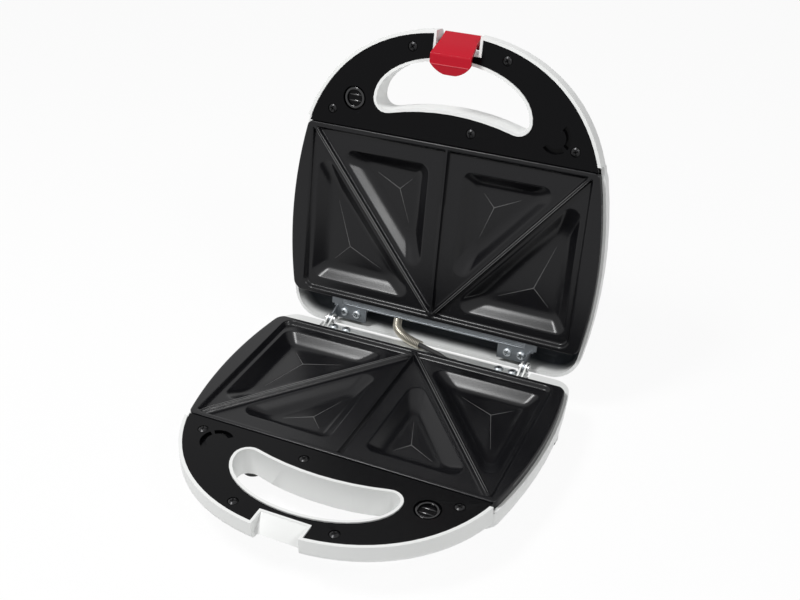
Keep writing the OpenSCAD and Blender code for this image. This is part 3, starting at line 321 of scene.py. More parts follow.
def smooth_step(t):
    """0 below 0, 1 above 1, and t*t*(3 - 2t) between."""
    t = np.clip(t, 0.0, 1.0)
    return t * t * (3.0 - 2.0 * t)


def tube(path, radius, sides, across):
    """Round tube: at each path point a circle of the given radius, square to the path.

    The circle starts in the direction across, one vector or one for each point, made
    square to the path. The radius may differ from point to point.
    """
    ahead = np.gradient(path, axis=0)
    ahead /= np.linalg.norm(ahead, axis=1)[:, None]
    first = np.broadcast_to(np.asarray(across, float), path.shape)
    first = first - ahead * (first * ahead).sum(1)[:, None]
    first /= np.linalg.norm(first, axis=1)[:, None]
    third = np.cross(ahead, first)
    a = np.arange(sides) * 2.0 * np.pi / sides
    ring = first[:, None] * np.cos(a)[None, :, None] + third[:, None] * np.sin(a)[None, :, None]
    reach = np.broadcast_to(np.asarray(radius, float), (len(path),))[:, None, None]
    points = (path[:, None] + reach * ring).reshape(-1, 3)
    faces = [list(f) for f in grid_faces(len(path), sides, wrap=True)[:, ::-1]]
    last = (len(path) - 1) * sides
    faces.append(list(range(sides))[::-1])
    faces.append(list(range(last, last + sides)))
    return points, faces


def ring_points(low, high, inner, outer, steps=48):
    """Ring round the x axis between two x and two radii, and its faces.

    A square whose corners are cut is carried through a full turn. The square's points
    are the sine and cosine of eight angles, enlarged by 1.2 and cut off at 1.
    """
    turn = np.arange(steps)[:, None] * 2.0 * np.pi / steps
    corner = np.arange(8) * np.pi / 4 + np.pi / 8
    x = (low + high) / 2 + np.clip(np.cos(corner) * 1.2, -1.0, 1.0) * (high - low) / 2
    reach = (inner + outer) / 2 + np.clip(np.sin(corner) * 1.2, -1.0, 1.0) * (outer - inner) / 2
    points = np.stack([x + 0.0 * turn, np.cos(turn) * reach, np.sin(turn) * reach], -1)
    quads = grid_faces(steps + 1, 8, wrap=True)[:, ::-1]
    return points.reshape(-1, 3), quads // 8 % steps * 8 + quads % 8


def joined(pieces):
    """One point array and one face list from several."""
    points, faces = [], []
    for some, quads in pieces:
        start = sum(len(p) for p in points)
        points.append(some)
        faces += [[int(v) + start for v in f] for f in quads]
    return np.concatenate(points), faces


def mark_painted_shade(piece, lid):
    """Attribute hollow on a housing, for painted shade: 0 outside, rising with depth on the inner
    faces.

    A face is an inner one where its normal points towards a place in the middle of the
    body, just below its rim. The depth is measured down from the plane where the halves
    meet.
    """
    mesh = piece.data
    count = len(mesh.polygons)
    centre, normal = np.empty(count * 3), np.empty(count * 3)
    mesh.polygons.foreach_get("center", centre)
    mesh.polygons.foreach_get("normal", normal)
    place = in_half(centre.reshape(-1, 3), lid)
    tip = in_half(centre.reshape(-1, 3) + normal.reshape(-1, 3) * MM, lid)
    towards = ((tip - place) * (np.array(HOLLOW_CENTRE) - place)).sum(1)
    inner = (towards > 0) & (place[:, 1] > -PLATE_DEPTH) & (place[:, 2] < -HOLLOW_TOP)
    points = np.empty(len(mesh.vertices) * 3)
    mesh.vertices.foreach_get("co", points)
    depth = -in_half(points.reshape(-1, 3), lid)[:, 2]
    corner, sides = np.empty(len(mesh.loops), int), np.empty(count, int)
    mesh.loops.foreach_get("vertex_index", corner)
    mesh.polygons.foreach_get("loop_total", sides)
    shade = np.repeat(inner, sides) * smooth_step((depth[corner] - SHADE_FROM) / SHADE_OVER)
    mesh.attributes.new("hollow", "FLOAT", "CORNER").data.foreach_set("value", shade)


# ---- finishes ---------------------------------------------------------------


def surface_grain():
    """Group: a fine bump and an uneven roughness from two noises on given coordinates."""
    name = "Surface grain"
    if name in bpy.data.node_groups:
        return bpy.data.node_groups[name]
    group = bpy.data.node_groups.new(name, "ShaderNodeTree")
    for label, kind in (("Coordinates", "Vector"), ("Grain scale", "Float"),
                        ("Grain depth", "Float"), ("Roughness", "Float"), ("Spread", "Float")):
        group.interface.new_socket(label, in_out="INPUT", socket_type="NodeSocket" + kind)
    for label, kind in (("Normal", "Vector"), ("Roughness", "Float"), ("Mottle", "Float")):
        group.interface.new_socket(label, in_out="OUTPUT", socket_type="NodeSocket" + kind)
    made, link = group.nodes.new, group.links.new
    given, out = made("NodeGroupInput"), made("NodeGroupOutput")
    grain = made("ShaderNodeTexNoise")
    grain.inputs["Detail"].default_value = 3.0
    link(given.outputs["Coordinates"], grain.inputs["Vector"])
    link(given.outputs["Grain scale"], grain.inputs["Scale"])
    bump = made("ShaderNodeBump")
    bump.inputs["Strength"].default_value = 1.0
    link(given.outputs["Grain depth"], bump.inputs["Distance"])
    link(grain.outputs["Fac"], bump.inputs["Height"])
    mottle = made("ShaderNodeTexNoise")
    mottle.inputs["Scale"].default_value = MOTTLE_SCALE
    mottle.inputs["Detail"].default_value = 4.0
    link(given.outputs["Coordinates"], mottle.inputs["Vector"])
    centred = made("ShaderNodeMath")
    centred.operation = "SUBTRACT"
    centred.inputs[1].default_value = 0.5
    link(mottle.outputs["Fac"], centred.inputs[0])
    uneven = made("ShaderNodeMath")
    uneven.operation = "MULTIPLY_ADD"
    link(centred.outputs[0], uneven.inputs[0])
    link(given.outputs["Spread"], uneven.inputs[1])
    link(given.outputs["Roughness"], uneven.inputs[2])
    link(bump.outputs["Normal"], out.inputs["Normal"])
    link(uneven.outputs[0], out.inputs["Roughness"])
    link(mottle.outputs["Fac"], out.inputs["Mottle"])
    return group


def mix_painted_shade(tree, colour):
    """The colour, turned to a painted shade of dark grey where hollow is 1."""
    inside = tree.nodes.new("ShaderNodeAttribute")
    inside.attribute_name = "hollow"
    mix = tree.nodes.new("ShaderNodeMix")
    mix.data_type = "RGBA"
    mix.inputs["B"].default_value = HOLLOW_SHADE_COLOUR
    tree.links.new(inside.outputs["Fac"], mix.inputs["Factor"])
    tree.links.new(colour, mix.inputs["A"])
    return mix.outputs["Result"]


class ColourSettings(bpy.types.PropertyGroup):
    """Colours of the main materials, each named after its slot."""

    white_plastic: FloatVectorProperty(
        name="Housings", description="Colour of both housings", subtype="COLOR",
        default=FINISHES["white_plastic"][0], min=0.0, max=1.0)
    black_plastic: FloatVectorProperty(
        name="Handle plates", description="Colour of the handle plates", subtype="COLOR",
        default=FINISHES["black_plastic"][0], min=0.0, max=1.0)
    non_stick_casting: FloatVectorProperty(
        name="Cooking plates", description="Colour of the non-stick coating", subtype="COLOR",
        default=FINISHES["non_stick_casting"][0], min=0.0, max=1.0)
    red_plastic: FloatVectorProperty(
        name="Latch", description="Colour of the latch", subtype="COLOR",
        default=FINISHES["red_plastic"][0], min=0.0, max=1.0)


def finish(slot):
    """The material of a slot: its colour with a faint mottle, grain and uneven roughness.

    A slot that the colour settings name takes its colour from them.
    """
    name = slot.replace("_", " ")
    if name in bpy.data.materials:
        return bpy.data.materials[name]
    colour, roughness, metallic, grain_mm, depth_mm, spread, extra = FINISHES[slot]
    colour = getattr(bpy.context.scene.toaster_colours, slot, colour)
    material = bpy.data.materials.new(name)
    material.use_nodes = True
    tree = material.node_tree
    shader = tree.nodes["Principled BSDF"]
    shader.inputs["Metallic"].default_value = metallic
    for socket, value in extra.items():
        shader.inputs[socket].default_value = value
    place = tree.nodes.new("ShaderNodeTexCoord")
    grain = tree.nodes.new("ShaderNodeGroup")
    grain.node_tree = surface_grain()
    grain.inputs["Grain scale"].default_value = 1.0 / (grain_mm * MM)
    grain.inputs["Grain depth"].default_value = depth_mm * MM
    grain.inputs["Roughness"].default_value = roughness
    grain.inputs["Spread"].default_value = spread
    tint = tree.nodes.new("ShaderNodeMix")
    tint.data_type = "RGBA"
    tint.inputs["A"].default_value = (*colour, 1.0)
    tint.inputs["B"].default_value = (*[v * MOTTLE_DIM for v in colour], 1.0)
    tree.links.new(place.outputs["Object"], grain.inputs["Coordinates"])
    tree.links.new(grain.outputs["Mottle"], tint.inputs["Factor"])
    tinted = tint.outputs["Result"]
    # The housings' hollows darken with painted shade.
    if slot == "white_plastic":
        tinted = mix_painted_shade(tree, tinted)
    tree.links.new(tinted, shader.inputs["Base Color"])
    tree.links.new(grain.outputs["Roughness"], shader.inputs["Roughness"])
    tree.links.new(grain.outputs["Normal"], shader.inputs["Normal"])
    return material


# ---- cooking plates ---------------------------------------------------------


def line_distance(x, y, a, b):
    """Signed distance from the line through a and b, positive on its left."""
    ux, uy = b[0] - a[0], b[1] - a[1]
    return (ux * (y - a[1]) - uy * (x - a[0])) / math.hypot(ux, uy)


def ridge_point(d, x=None, y=None):
    """Where the line at distance d beside the slanting ridge meets a given x or y."""
    sx, sy = 0.0, -FIELD_BORDER
    ux, uy = RIDGE_END[0] - sx, RIDGE_END[1] - sy
    n = math.hypot(ux, uy)
    ux, uy = ux / n, uy / n
    ox, oy = sx - uy * d, sy + ux * d
    if x is None:
        return (ox + (y - oy) * ux / uy, y)
    return (x, oy + (x - ox) * uy / ux)


def pockets():
    """Corners of the two left pockets, each listed counter-clockwise."""
    front = -PLATE_DEPTH + POCKET_FRONT_Y
    outer = [(-POCKET_OUT_X, -POCKET_REAR_Y), ridge_point(-POCKET_GAP, x=-POCKET_OUT_X),
             ridge_point(-POCKET_GAP, y=-POCKET_REAR_Y)]
    inner = [(-POCKET_IN_X, front), ridge_point(POCKET_GAP, x=-POCKET_IN_X),
             ridge_point(POCKET_GAP, y=front)]
    return [outer, inner]


def triangle_centre(tri):
    """Centre and radius of the circle that touches a triangle's three sides."""
    p = np.array(tri)
    a, b, c = (np.linalg.norm(p[i - 2] - p[i - 1]) for i in range(3))
    half = (a + b + c) / 2
    radius = math.sqrt((half - a) * (half - b) * (half - c) / half)
    return (a * p[0] + b * p[1] + c * p[2]) / (a + b + c), radius


def pocket_distance(x, y, tri):
    """Distance inwards from a pocket's rounded outline, on rings that shrink evenly.

    Along a side it is the distance from that side. Round a corner it comes from the
    ring whose corner circle goes through the point: with c from the centre to the
    circle's middle and r its radius, both for the full outline, the ring's scale k
    solves |p - k c| = k r.
    """
    centre, inner = triangle_centre(tri)
    scale = 1.0 - np.minimum.reduce(
        [line_distance(x, y, tri[i], tri[(i + 1) % 3]) for i in range(3)]) / inner
    px, py = x - centre[0], y - centre[1]
    for i in range(3):
        corner = np.array(tri[i])
        before, after = corner - np.array(tri[i - 1]), np.array(tri[(i + 1) % 3]) - corner
        c = (corner - centre) * (1.0 - POCKET_CORNER / inner)
        first = c + POCKET_CORNER * np.array([before[1], -before[0]]) / np.hypot(*before)
        last = c + POCKET_CORNER * np.array([after[1], -after[0]]) / np.hypot(*after)
        round_it = (first[0] * py - first[1] * px > 0) & (px * last[1] - py * last[0] > 0)
        along, spread = px * c[0] + py * c[1], c @ c - POCKET_CORNER**2
        root = np.sqrt(np.maximum(along**2 - spread * (px**2 + py**2), 0.0))
        scale = np.where(round_it, (along - root) / spread, scale)
    return inner * (1.0 - scale)


def pocket_wall(distance):
    """Share of the pocket's depth at a distance from its outline.

    Its slope rises round the lip, stays even over the upper wall, and eases to nothing
    where the wall runs out into the floor.
    """
    t = np.linspace(0.0, 1.0, 400)
    ease = 1.0 - smooth_step((t - WALL_EVEN) / (1.0 - WALL_EVEN))
    share = np.cumsum(np.minimum(smooth_step((t + WALL_START) / WALL_LIP), ease))
    return np.interp(distance / POCKET_SLOPE + WALL_START, t, share / share[-1])


def plate_half_width(y):
    """Half width at y: a circular bow, less a quarter round at each corner."""
    bow = PLATE_HALF_W - SIDE_RADIUS + np.sqrt(SIDE_RADIUS**2 - (y + SIDE_WIDEST) ** 2)
    for radius, depth in ((REAR_CORNER, -y), (FRONT_CORNER, y + PLATE_DEPTH)):
        short = np.clip(radius - depth, 0.0, radius)
        bow = bow - (radius - np.sqrt(radius**2 - short**2))
    return bow


def round_corner(a, b, radius):
    """Distance inwards from two sides that meet in a quarter round."""
    short = np.hypot(np.maximum(radius - a, 0.0), np.maximum(radius - b, 0.0))
    return np.where((a < radius) & (b < radius), radius - short, np.minimum(a, b))


def plate_height(x, y, peak):
    """Height of the plate's face in mm.

    A flat border; a field with rounded corners that lies lower by a smooth step, with
    ridges of the border's height; and in it two pockets to a side, each lowered by its
    wall over the distance from its rounded triangle, with a floor that rises evenly to
    its centre.
    """
    x = -np.abs(x)
    across = FIELD_HALF_W + x
    inside = np.minimum(
        round_corner(across, -y - FIELD_BORDER, FIELD_CORNER),
        round_corner(across, y + PLATE_DEPTH - FIELD_BORDER, FIELD_CORNER / 2))
    slant = np.abs(line_distance(x, y, (0.0, -FIELD_BORDER), RIDGE_END))
    sunk = np.minimum(smooth_step((slant - RIDGE_HALF_W) / RIDGE_STEP),
                      smooth_step((-x - MIDDLE_HALF_W) / MIDDLE_STEP))
    z = -HALF_GAP - FIELD_DROP * np.minimum(smooth_step((inside + 0.2) / FIELD_STEP), sunk)
    for tri in pockets():
        distance = pocket_distance(x, y, tri)
        z = z - POCKET_DROP * pocket_wall(distance)
        rise = (distance - POCKET_SLOPE) / (triangle_centre(tri)[1] - POCKET_SLOPE)
        z = z + peak * np.clip(rise, 0.0, 1.0)
    edge = np.minimum(np.minimum(plate_half_width(y) + x, -y), y + PLATE_DEPTH)
    return z - EDGE_DROP * np.clip(1.0 - edge / EDGE_ROUND, 0.0, 1.0) ** 2


def plate_points(columns, rows, peak):
    """The face on a grid that follows the bowed sides, then three rings down to a flat back.

    The rows lie closer together at the front and rear edges, where the face is eased.
    """
    close = np.array([0.0, 0.05, 0.2, 0.45])
    deep = np.concatenate(
        [close, np.linspace(0.8, PLATE_DEPTH - 0.8, rows - 8), PLATE_DEPTH - close[::-1]])
    y = -deep[:, None] * np.ones(columns)
    x = np.linspace(-1.0, 1.0, columns) * plate_half_width(y)
    face = np.stack([x, y, plate_height(x, y, peak)], -1)
    rim = np.concatenate([face[0, :-1], face[:-1, -1], face[-1, :0:-1], face[:0:-1, 0]])
    middle = np.array([0.0, -PLATE_DEPTH / 2, 0.0])
    inward = 1.0 - BACK_INSET / np.array([PLATE_HALF_W, PLATE_DEPTH / 2, np.inf])
    low = -HALF_GAP - RIM_H
    rings = []
    for scale, z in ((1.0, low), (inward, low), (inward, BACK_Z)):
        ring = middle + (rim - middle) * scale
        ring[:, 2] = z
        rings.append(ring)
    return face, rim, rings


def build_plate(name, lid, columns, rows, peak):
    """One cooking plate as a closed solid."""
    face, rim, rings = plate_points(columns, rows, peak)
    start = face.shape[0] * face.shape[1]
    n = len(rim)
    index = np.arange(start).reshape(face.shape[:2])
    edge = np.concatenate([index[0, :-1], index[:-1, -1], index[-1, :0:-1], index[:0:-1, 0]])
    faces = [list(f) for f in grid_faces(*face.shape[:2])]
    loops = [edge] + [start + k * n + np.arange(n) for k in range(3)]
    for upper, lower in zip(loops, loops[1:]):
        quads = np.stack([upper, np.roll(upper, -1), np.roll(lower, -1), lower], -1)
        faces += [list(q) for q in quads]
    faces.append([int(v) for v in loops[-1]])
    points = np.concatenate([face.reshape(-1, 3)] + rings)
    piece = make_piece(name, in_row(points, lid), faces, "non_stick_casting",
                       "lid" if lid else "base", sharp=50.0)
    return piece


def crease_points(tri, peak, width):
    """Three low beads from a pocket's centre towards its corners, thinning to their ends."""
    centre, radius = triangle_centre(tri)
    t = np.linspace(0.0, 1.0, 24)
    beads = []
    for corner in np.array(tri):
        reach = (corner - centre) * (1.0 - POCKET_SLOPE / radius) * CREASE_REACH
        path = centre + t[:, None] * reach
        z = plate_height(path[:, 0], path[:, 1], peak)
        beads.append((np.column_stack([path, z - 0.02]), width * (0.25 + 0.75 * (1.0 - t))))
    return beads


def ridge_lines(peak, width):
    """Two low beads along the shoulders of the slanting ridge, thinning to their ends."""
    t = np.linspace(0.0, 1.0, 60)
    beads = []
    for side in (-RIDGE_HALF_W, RIDGE_HALF_W):
        start = np.array(ridge_point(side, y=-FIELD_BORDER - CREASE_END_GAP))
        end = np.array(ridge_point(side, y=-PLATE_DEPTH + FIELD_BORDER + CREASE_END_GAP))
        path = start + t[:, None] * (end - start)
        z = plate_height(path[:, 0], path[:, 1], peak)
        beads.append((np.column_stack([path, z]), width * np.sin(np.pi * t) ** 0.3 + 0.01))
    return beads


def build_creases(name, lid, peak, width):
    """The crease lines on the floors of one plate's four pockets, and the ridges' lines, as beads whose
    light grey is a painted highlight.
    """
    beads = [bead for tri in pockets() for bead in crease_points(tri, peak, width)]
    beads += ridge_lines(peak, width)
    points, faces = joined([tube(path * (sign, 1.0, 1.0), radius, BEAD_SIDES, UP)
                            for path, radius in beads for sign in (1.0, -1.0)])
    # The beads' light grey paints the highlight on the creases and ridges.
    return make_piece(name, in_row(points, lid), faces, "worn_crease",
                      "lid" if lid else "base")


class PlateSettings(bpy.types.PropertyGroup):
    """Sizes of the cooking plates' faces."""

    peak: FloatProperty(
        name="Floor peak", description="Height of the peak in a pocket's floor", unit="LENGTH",
        precision=5, default=0.9 * MM, min=0.0, max=2.0 * MM)
    crease: FloatProperty(
        name="Crease width", description="Half width of the crease lines", unit="LENGTH",
        precision=5, default=0.22 * MM, min=0.05 * MM, max=0.6 * MM)
    columns: IntProperty(
        name="Columns", description="Grid points across a plate", default=361, min=60, max=400)
    rows: IntProperty(
        name="Rows", description="Grid points from rear to front", default=206, min=40, max=230)


class TOASTER_OT_cooking_plates(bpy.types.Operator):
    """Build both ridged cooking plates"""

    bl_idname = "toaster.cooking_plates"
    bl_label = "Cooking plates"

    def execute(self, context):
        """One closed solid for each half, in place of its CAD plate."""
        s = context.scene.toaster_plates
        for half, lid in HALVES:
            piece = build_plate(half + "_plate_casting", lid, s.columns, s.rows, s.peak / MM)
            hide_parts(half + "_cooking_plate")
        return {"FINISHED"}


class TOASTER_OT_creases(bpy.types.Operator):
    """Build the crease lines in the pockets"""

    bl_idname = "toaster.creases"
    bl_label = "Pocket creases"

    def execute(self, context):
        """One piece of sixteen beads for each half: three to a pocket, two to a ridge."""
        s = context.scene.toaster_plates
        for half, lid in HALVES:
            piece = build_creases(half + "_pocket_creases", lid, s.peak / MM, s.crease / MM)
        return {"FINISHED"}


# ---- moulded and stamped parts ----------------------------------------------


class MouldingSettings(bpy.types.PropertyGroup):
    """Edge rounding of moulded and stamped parts, and the rail's ribs."""

    housing_edge: FloatProperty(
        name="Housing edge", description="Largest edge radius of the housings", unit="LENGTH",
        precision=5, default=0.45 * MM, min=0.0, max=1.0 * MM)
    cover_edge: FloatProperty(
        name="Handle plate edge", description="Largest edge radius of the handle plates", unit="LENGTH",
        precision=5, default=0.3 * MM, min=0.0, max=0.6 * MM)
    feet_edge: FloatProperty(
        name="Feet edge", description="Largest edge radius of the rubber feet", unit="LENGTH",
        precision=5, default=0.5 * MM, min=0.0, max=1.0 * MM)
    latch_edge: FloatProperty(
        name="Latch edge", description="Largest edge radius of the latch", unit="LENGTH",
        precision=5, default=0.35 * MM, min=0.0, max=0.6 * MM)
    steel_edge: FloatProperty(
        name="Steel edge", description="Largest edge radius of the stamped steel", unit="LENGTH",
        precision=5, default=0.12 * MM, min=0.0, max=0.3 * MM)
    ribs: IntProperty(
        name="Rail ribs", description="Number of ribs on the lid's rail", default=4, min=1, max=8)


class TOASTER_OT_mouldings(bpy.types.Operator):
    """Round the edges of the housings, handle plates and feet"""

    bl_idname = "toaster.mouldings"
    bl_label = "Housings, handle plates and feet"

    def execute(self, context):
        """A softened copy for each moulded node."""
        s = context.scene.toaster_mouldings
        for half, lid in HALVES:
            shell = softened(half + "_housing", half + "_shell", "white_plastic", half,
                             s.housing_edge / MM)
            # Painted shade in the housing's hollow.
            mark_painted_shade(shell, lid)
            softened(half + "_handle_plate", half + "_handle_cover", "black_plastic", half,
                     s.cover_edge / MM)
        softened("base_feet", "rubber_feet", "rubber_black", "base", s.feet_edge / MM)
        return {"FINISHED"}


def recess_trim():
    """A ring in the round recess, and two bars across it that thin to their ends."""
    ring, faces = ring_points(RING_LOW, RING_HIGH, RING_INNER, RING_OUTER)
    x = np.linspace(-BAR_HALF_L, BAR_HALF_L, 16)
    radius = BAR_RADIUS * np.sin(np.linspace(0.3, 2.84, 16))
    bars = [tube(np.column_stack([x, 0.0 * x + y, 0.0 * x + BAR_Z]), radius, 12, UP)
            for y in (-BAR_Y, BAR_Y)]
    return joined([(ring[:, [1, 2, 0]], faces)] + bars)


class TOASTER_OT_recess_trim(bpy.types.Operator):
    """Build the ring and bars in the handle plates' recesses"""

    bl_idname = "toaster.recess_trim"
    bl_label = "Recess trim"

    def execute(self, context):
        """One piece of a ring and two bars for each half."""
        for half, lid in HALVES:
            points, faces = recess_trim()
            trim = make_piece(half + "_recess_trim", in_row(points + RECESS_AT, lid), faces,
                              "polished_black", half)
        return {"FINISHED"}


class TOASTER_OT_metalwork(bpy.types.Operator):
    """Round the edges of rails, pins and screws"""

    bl_idname = "toaster.metalwork"
    bl_label = "Rails, pins and screws"

    def execute(self, context):
        """A softened copy for each stamped or turned steel node."""
        width = context.scene.toaster_mouldings.steel_edge / MM
        for half, lid in HALVES:
            softened(half + "_hinge_rail", half + "_rail",
                     "dull_zinc" if lid else "galvanised_steel", half, width)
            softened(half + "_rail_screws", half + "_rail_screw_heads", "zinc_screw", half, width)
            softened(half + "_cover_screws", half + "_cover_screw_heads", "black_screw", half,
                     width)
        softened("hinge_pins", "hinge_pin_rods", "bright_steel", "base", width)
        return {"FINISHED"}


class TOASTER_OT_hinge_washers(bpy.types.Operator):
    """Build the washers between the hinges' ears"""

    bl_idname = "toaster.hinge_washers"
    bl_label = "Hinge washers"

    def execute(self, context):
        """A flat ring on each side of the lid's ear, at both hinges."""
        middles = [x + gap for x in (-HINGE_X, HINGE_X) for gap in (-EAR_GAP_MID, EAR_GAP_MID)]
        points, faces = joined([
            ring_points(x - WASHER_HALF_T, x + WASHER_HALF_T, WASHER_INNER, WASHER_OUTER)
            for x in middles])
        piece = make_piece("hinge_washers", points * MM + HINGE_AT, faces, "bright_steel", "base")
        return {"FINISHED"}


def latch_ridge_path():
    """Line along x over the latch's hook, in the lid's half frame.

    Its place beside the latch's pin leans with the latch.
    """
    lean = math.radians(LATCH_LEAN)
    y, z = LATCH_RIDGE
    y, z = y * math.cos(lean) - z * math.sin(lean), y * math.sin(lean) + z * math.cos(lean)
    x = np.linspace(-LATCH_RIDGE_HALF_L, LATCH_RIDGE_HALF_L, 24)
    return np.column_stack([x, 0.0 * x + LATCH_PIN[0] + y, 0.0 * x - LATCH_PIN[1] - z])


class TOASTER_OT_latch(bpy.types.Operator):
    """Round the latch's edges and build the ridge across its hook"""

    bl_idname = "toaster.latch"
    bl_label = "Latch"

    def execute(self, context):
        """A softened copy of the latch, and a low round ridge on it."""
        width = context.scene.toaster_mouldings.latch_edge / MM
        softened("latch", "latch_moulding", "red_plastic", "latch", width)
        points, faces = tube(latch_ridge_path(), LATCH_RIDGE_RADIUS, 10, UP)
        # The ridge is a lighter red than the latch: a painted highlight.
        piece = make_piece("latch_ridge", in_row(points, True), faces, "red_ridge", "latch")
        return {"FINISHED"}


def rib_points(ribs):
    """Sheet along x whose section is a row of round ribs.

    Its height over the rail is RIB_H times the sine's size to the power 0.6, with a half
    wave for each rib, and eases to nothing over the last 2 mm at both ends.
    """
    x = np.linspace(-RIB_HALF_L, RIB_HALF_L, 40)
    t = np.linspace(0.0, 1.0, ribs * 10 + 1)
    y = RIB_FROM_Y + (RIB_TO_Y - RIB_FROM_Y) * t
    z = RAIL_TOP + RIB_H * np.abs(np.sin(np.pi * ribs * t)) ** 0.6
    ends = smooth_step((RIB_HALF_L - np.abs(x)) / 2.0)
    lift = RAIL_TOP - 0.05 + (z - RAIL_TOP + 0.05)[None, :] * ends[:, None]
    return np.stack(np.broadcast_arrays(x[:, None], y[None, :], lift), -1)


class TOASTER_OT_rail_ribs(bpy.types.Operator):
    """Build the stiffening ribs on the lid's rail"""

    bl_idname = "toaster.rail_ribs"
    bl_label = "Rail ribs"

    def execute(self, context):
        """A row of round ribs along the strip behind the plate's rear edge."""
        points = rib_points(context.scene.toaster_mouldings.ribs)
        piece = make_piece("lid_rail_ribs", in_row(points, True), grid_faces(*points.shape[:2]),
                           "dull_zinc", "lid", sharp=70.0)
        sheet = piece.modifiers.new("sheet", "SOLIDIFY")
        sheet.thickness = RIB_SHEET * MM
        sheet.offset = -1.0
        return {"FINISHED"}


class TOASTER_OT_frame_finishes(bpy.types.Operator):
    """Give every CAD node that still shows its finish"""

    bl_idname = "toaster.frame_finishes"
    bl_label = "Finishes of the frame"

    def execute(self, context):
        """The slot of each node in the record names its finish."""
        for part in RECORD["subparts"]:
            NODES[part["node"]].data.materials[0] = finish(part["material_slot"])
        return {"FINISHED"}


# ---- link lead --------------------------------------------------------------

def route_curve(points, steps):
    """Smooth curve through points: a cubic between neighbours with matching slopes."""
    p = np.array(points, float)
    ends = np.concatenate([p[:1], p, p[-1:]])
    t = (np.arange(steps) / steps)[None, :, None]
    a, b, c, d = (ends[k:len(ends) - 3 + k, None] for k in range(4))
    curve = 0.5 * (2 * b + (c - a) * t + (2 * a - 5 * b + 4 * c - d) * t**2
                   + (3 * b - a - 3 * c + d) * t**3)
    return np.concatenate([curve.reshape(-1, 3), p[-1:]])


def along(path, count):
    """Points evenly spaced by length along a path."""
    run = np.concatenate([[0.0], np.cumsum(np.linalg.norm(np.diff(path, axis=0), axis=1))])
    at = np.linspace(0.0, run[-1], count)
    return np.column_stack([np.interp(at, run, path[:, k]) for k in range(3)])


def coil_path(path, radius, curls, per_curl):
    """Helix round a path, and its outward directions.

    The outward direction turns evenly with the length along the path.
    """
    core = along(path, curls * per_curl + 1)
    ahead = np.gradient(core, axis=0)
    ahead /= np.linalg.norm(ahead, axis=1)[:, None]
    up = np.array([0.0, 0.0, 1.0])
    across = up - ahead * (ahead @ up)[:, None]
    across /= np.linalg.norm(across, axis=1)[:, None]
    third = np.cross(ahead, across)
    a = np.arange(len(core)) * 2 * np.pi / per_curl
    outward = across * np.cos(a)[:, None] + third * np.sin(a)[:, None]
    return core + radius * outward, outward


class LinkSettings(bpy.types.PropertyGroup):
    """Sizes of the lead between the halves and its spring sleeve."""

    lead_radius: FloatProperty(
        name="Lead radius", description="Radius of the lead", unit="LENGTH", precision=5,
        default=1.6 * MM, min=1.0 * MM, max=1.8 * MM)
    sleeve_radius: FloatProperty(
        name="Sleeve radius", description="Mean radius of the sleeve's curls", unit="LENGTH",
        precision=5, default=2.8 * MM, min=2.2 * MM, max=2.9 * MM)
    wire: FloatProperty(
        name="Sleeve wire", description="Radius of the sleeve's wire", unit="LENGTH",
        precision=5, default=0.4 * MM, min=0.2 * MM, max=0.5 * MM)
    curls: IntProperty(
        name="Curls", description="Number of curls in the sleeve", default=29, min=10, max=40)


class TOASTER_OT_link_lead(bpy.types.Operator):
    """Build the lead between the halves and its spring sleeve"""

    bl_idname = "toaster.link_lead"
    bl_label = "Link lead"

    def execute(self, context):
        """A tube and a helix along the route, built with the lid open."""
        s = context.scene.toaster_link
        path = route_curve(LINK_ROUTE, 6)
        points, faces = tube(path, s.lead_radius / MM, 16, (1.0, 1.0, 0.0))
        lead = make_piece("lead_between_halves", in_row(points, False), faces, "rubber_black")
        last = len(path) - 1
        covered = path[round(last * SLEEVE_FROM):round(last * SLEEVE_TO) + 1]
        coil, outward = coil_path(covered, s.sleeve_radius / MM, s.curls, 20)
        points, faces = tube(coil, s.wire / MM, 8, outward)
        sleeve = make_piece("lead_spring_sleeve", in_row(points, False), faces, "sleeve_wire")
        for piece, node, slot in ((lead, "link_lead", "rubber_black"),
                                  (sleeve, "link_spring_sleeve", "bright_steel")):
            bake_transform(piece)
            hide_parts(node)
        return {"FINISHED"}


# ---- stage ------------------------------------------------------------------


class StageSettings(bpy.types.PropertyGroup):
    """Camera, lamps and floor."""

    camera_at: FloatVectorProperty(
        name="Camera", description="Place of the camera", subtype="XYZ", unit="LENGTH",
        default=(0.25276, PLATE_AT[1] - 0.60641, PLATE_AT[2] + 0.441))
    camera_turn: FloatVectorProperty(
        name="Camera turn", description="Euler angles of the camera", subtype="EULER",
        unit="ROTATION",
        default=tuple(math.radians(v) for v in (58.599, -0.6237, 24.0447)))
    lens: FloatProperty(
        name="Lens", description="Focal length on a 36 mm wide sensor", unit="CAMERA",
        default=50.82)
    ambient: FloatProperty(
        name="Ambient", description="Strength of the even light all round", default=0.2, min=0.0)
    overhead: FloatProperty(
        name="Overhead lamp", description="Power of the overhead softbox", unit="POWER",
        default=9.2, min=0.0)
    front: FloatProperty(
        name="Front lamp", description="Power of the front softbox", unit="POWER",
        default=5.0, min=0.0)
    floor_glow: FloatProperty(
        name="Floor glow", description="Share of the floor's own white in the picture",
        subtype="FACTOR", default=0.93, min=0.0, max=1.0)


def add_lamp(name, at, target, size, along, power):
    """A rectangular softbox that faces a target, its long side in the direction along."""
    lamp = bpy.data.lights.new(name, "AREA")
    lamp.shape = "RECTANGLE"
    lamp.size, lamp.size_y = size
    lamp.energy = power
    piece = bpy.data.objects.new(name, lamp)
    bpy.context.collection.objects.link(piece)
    back = (Vector(at) - Vector(target)).normalized()
    up = Vector(along) - Vector(along).dot(back) * back
    up.normalize()
    piece.location = at
    piece.rotation_euler = Matrix((up.cross(back), up, back)).transposed().to_euler()


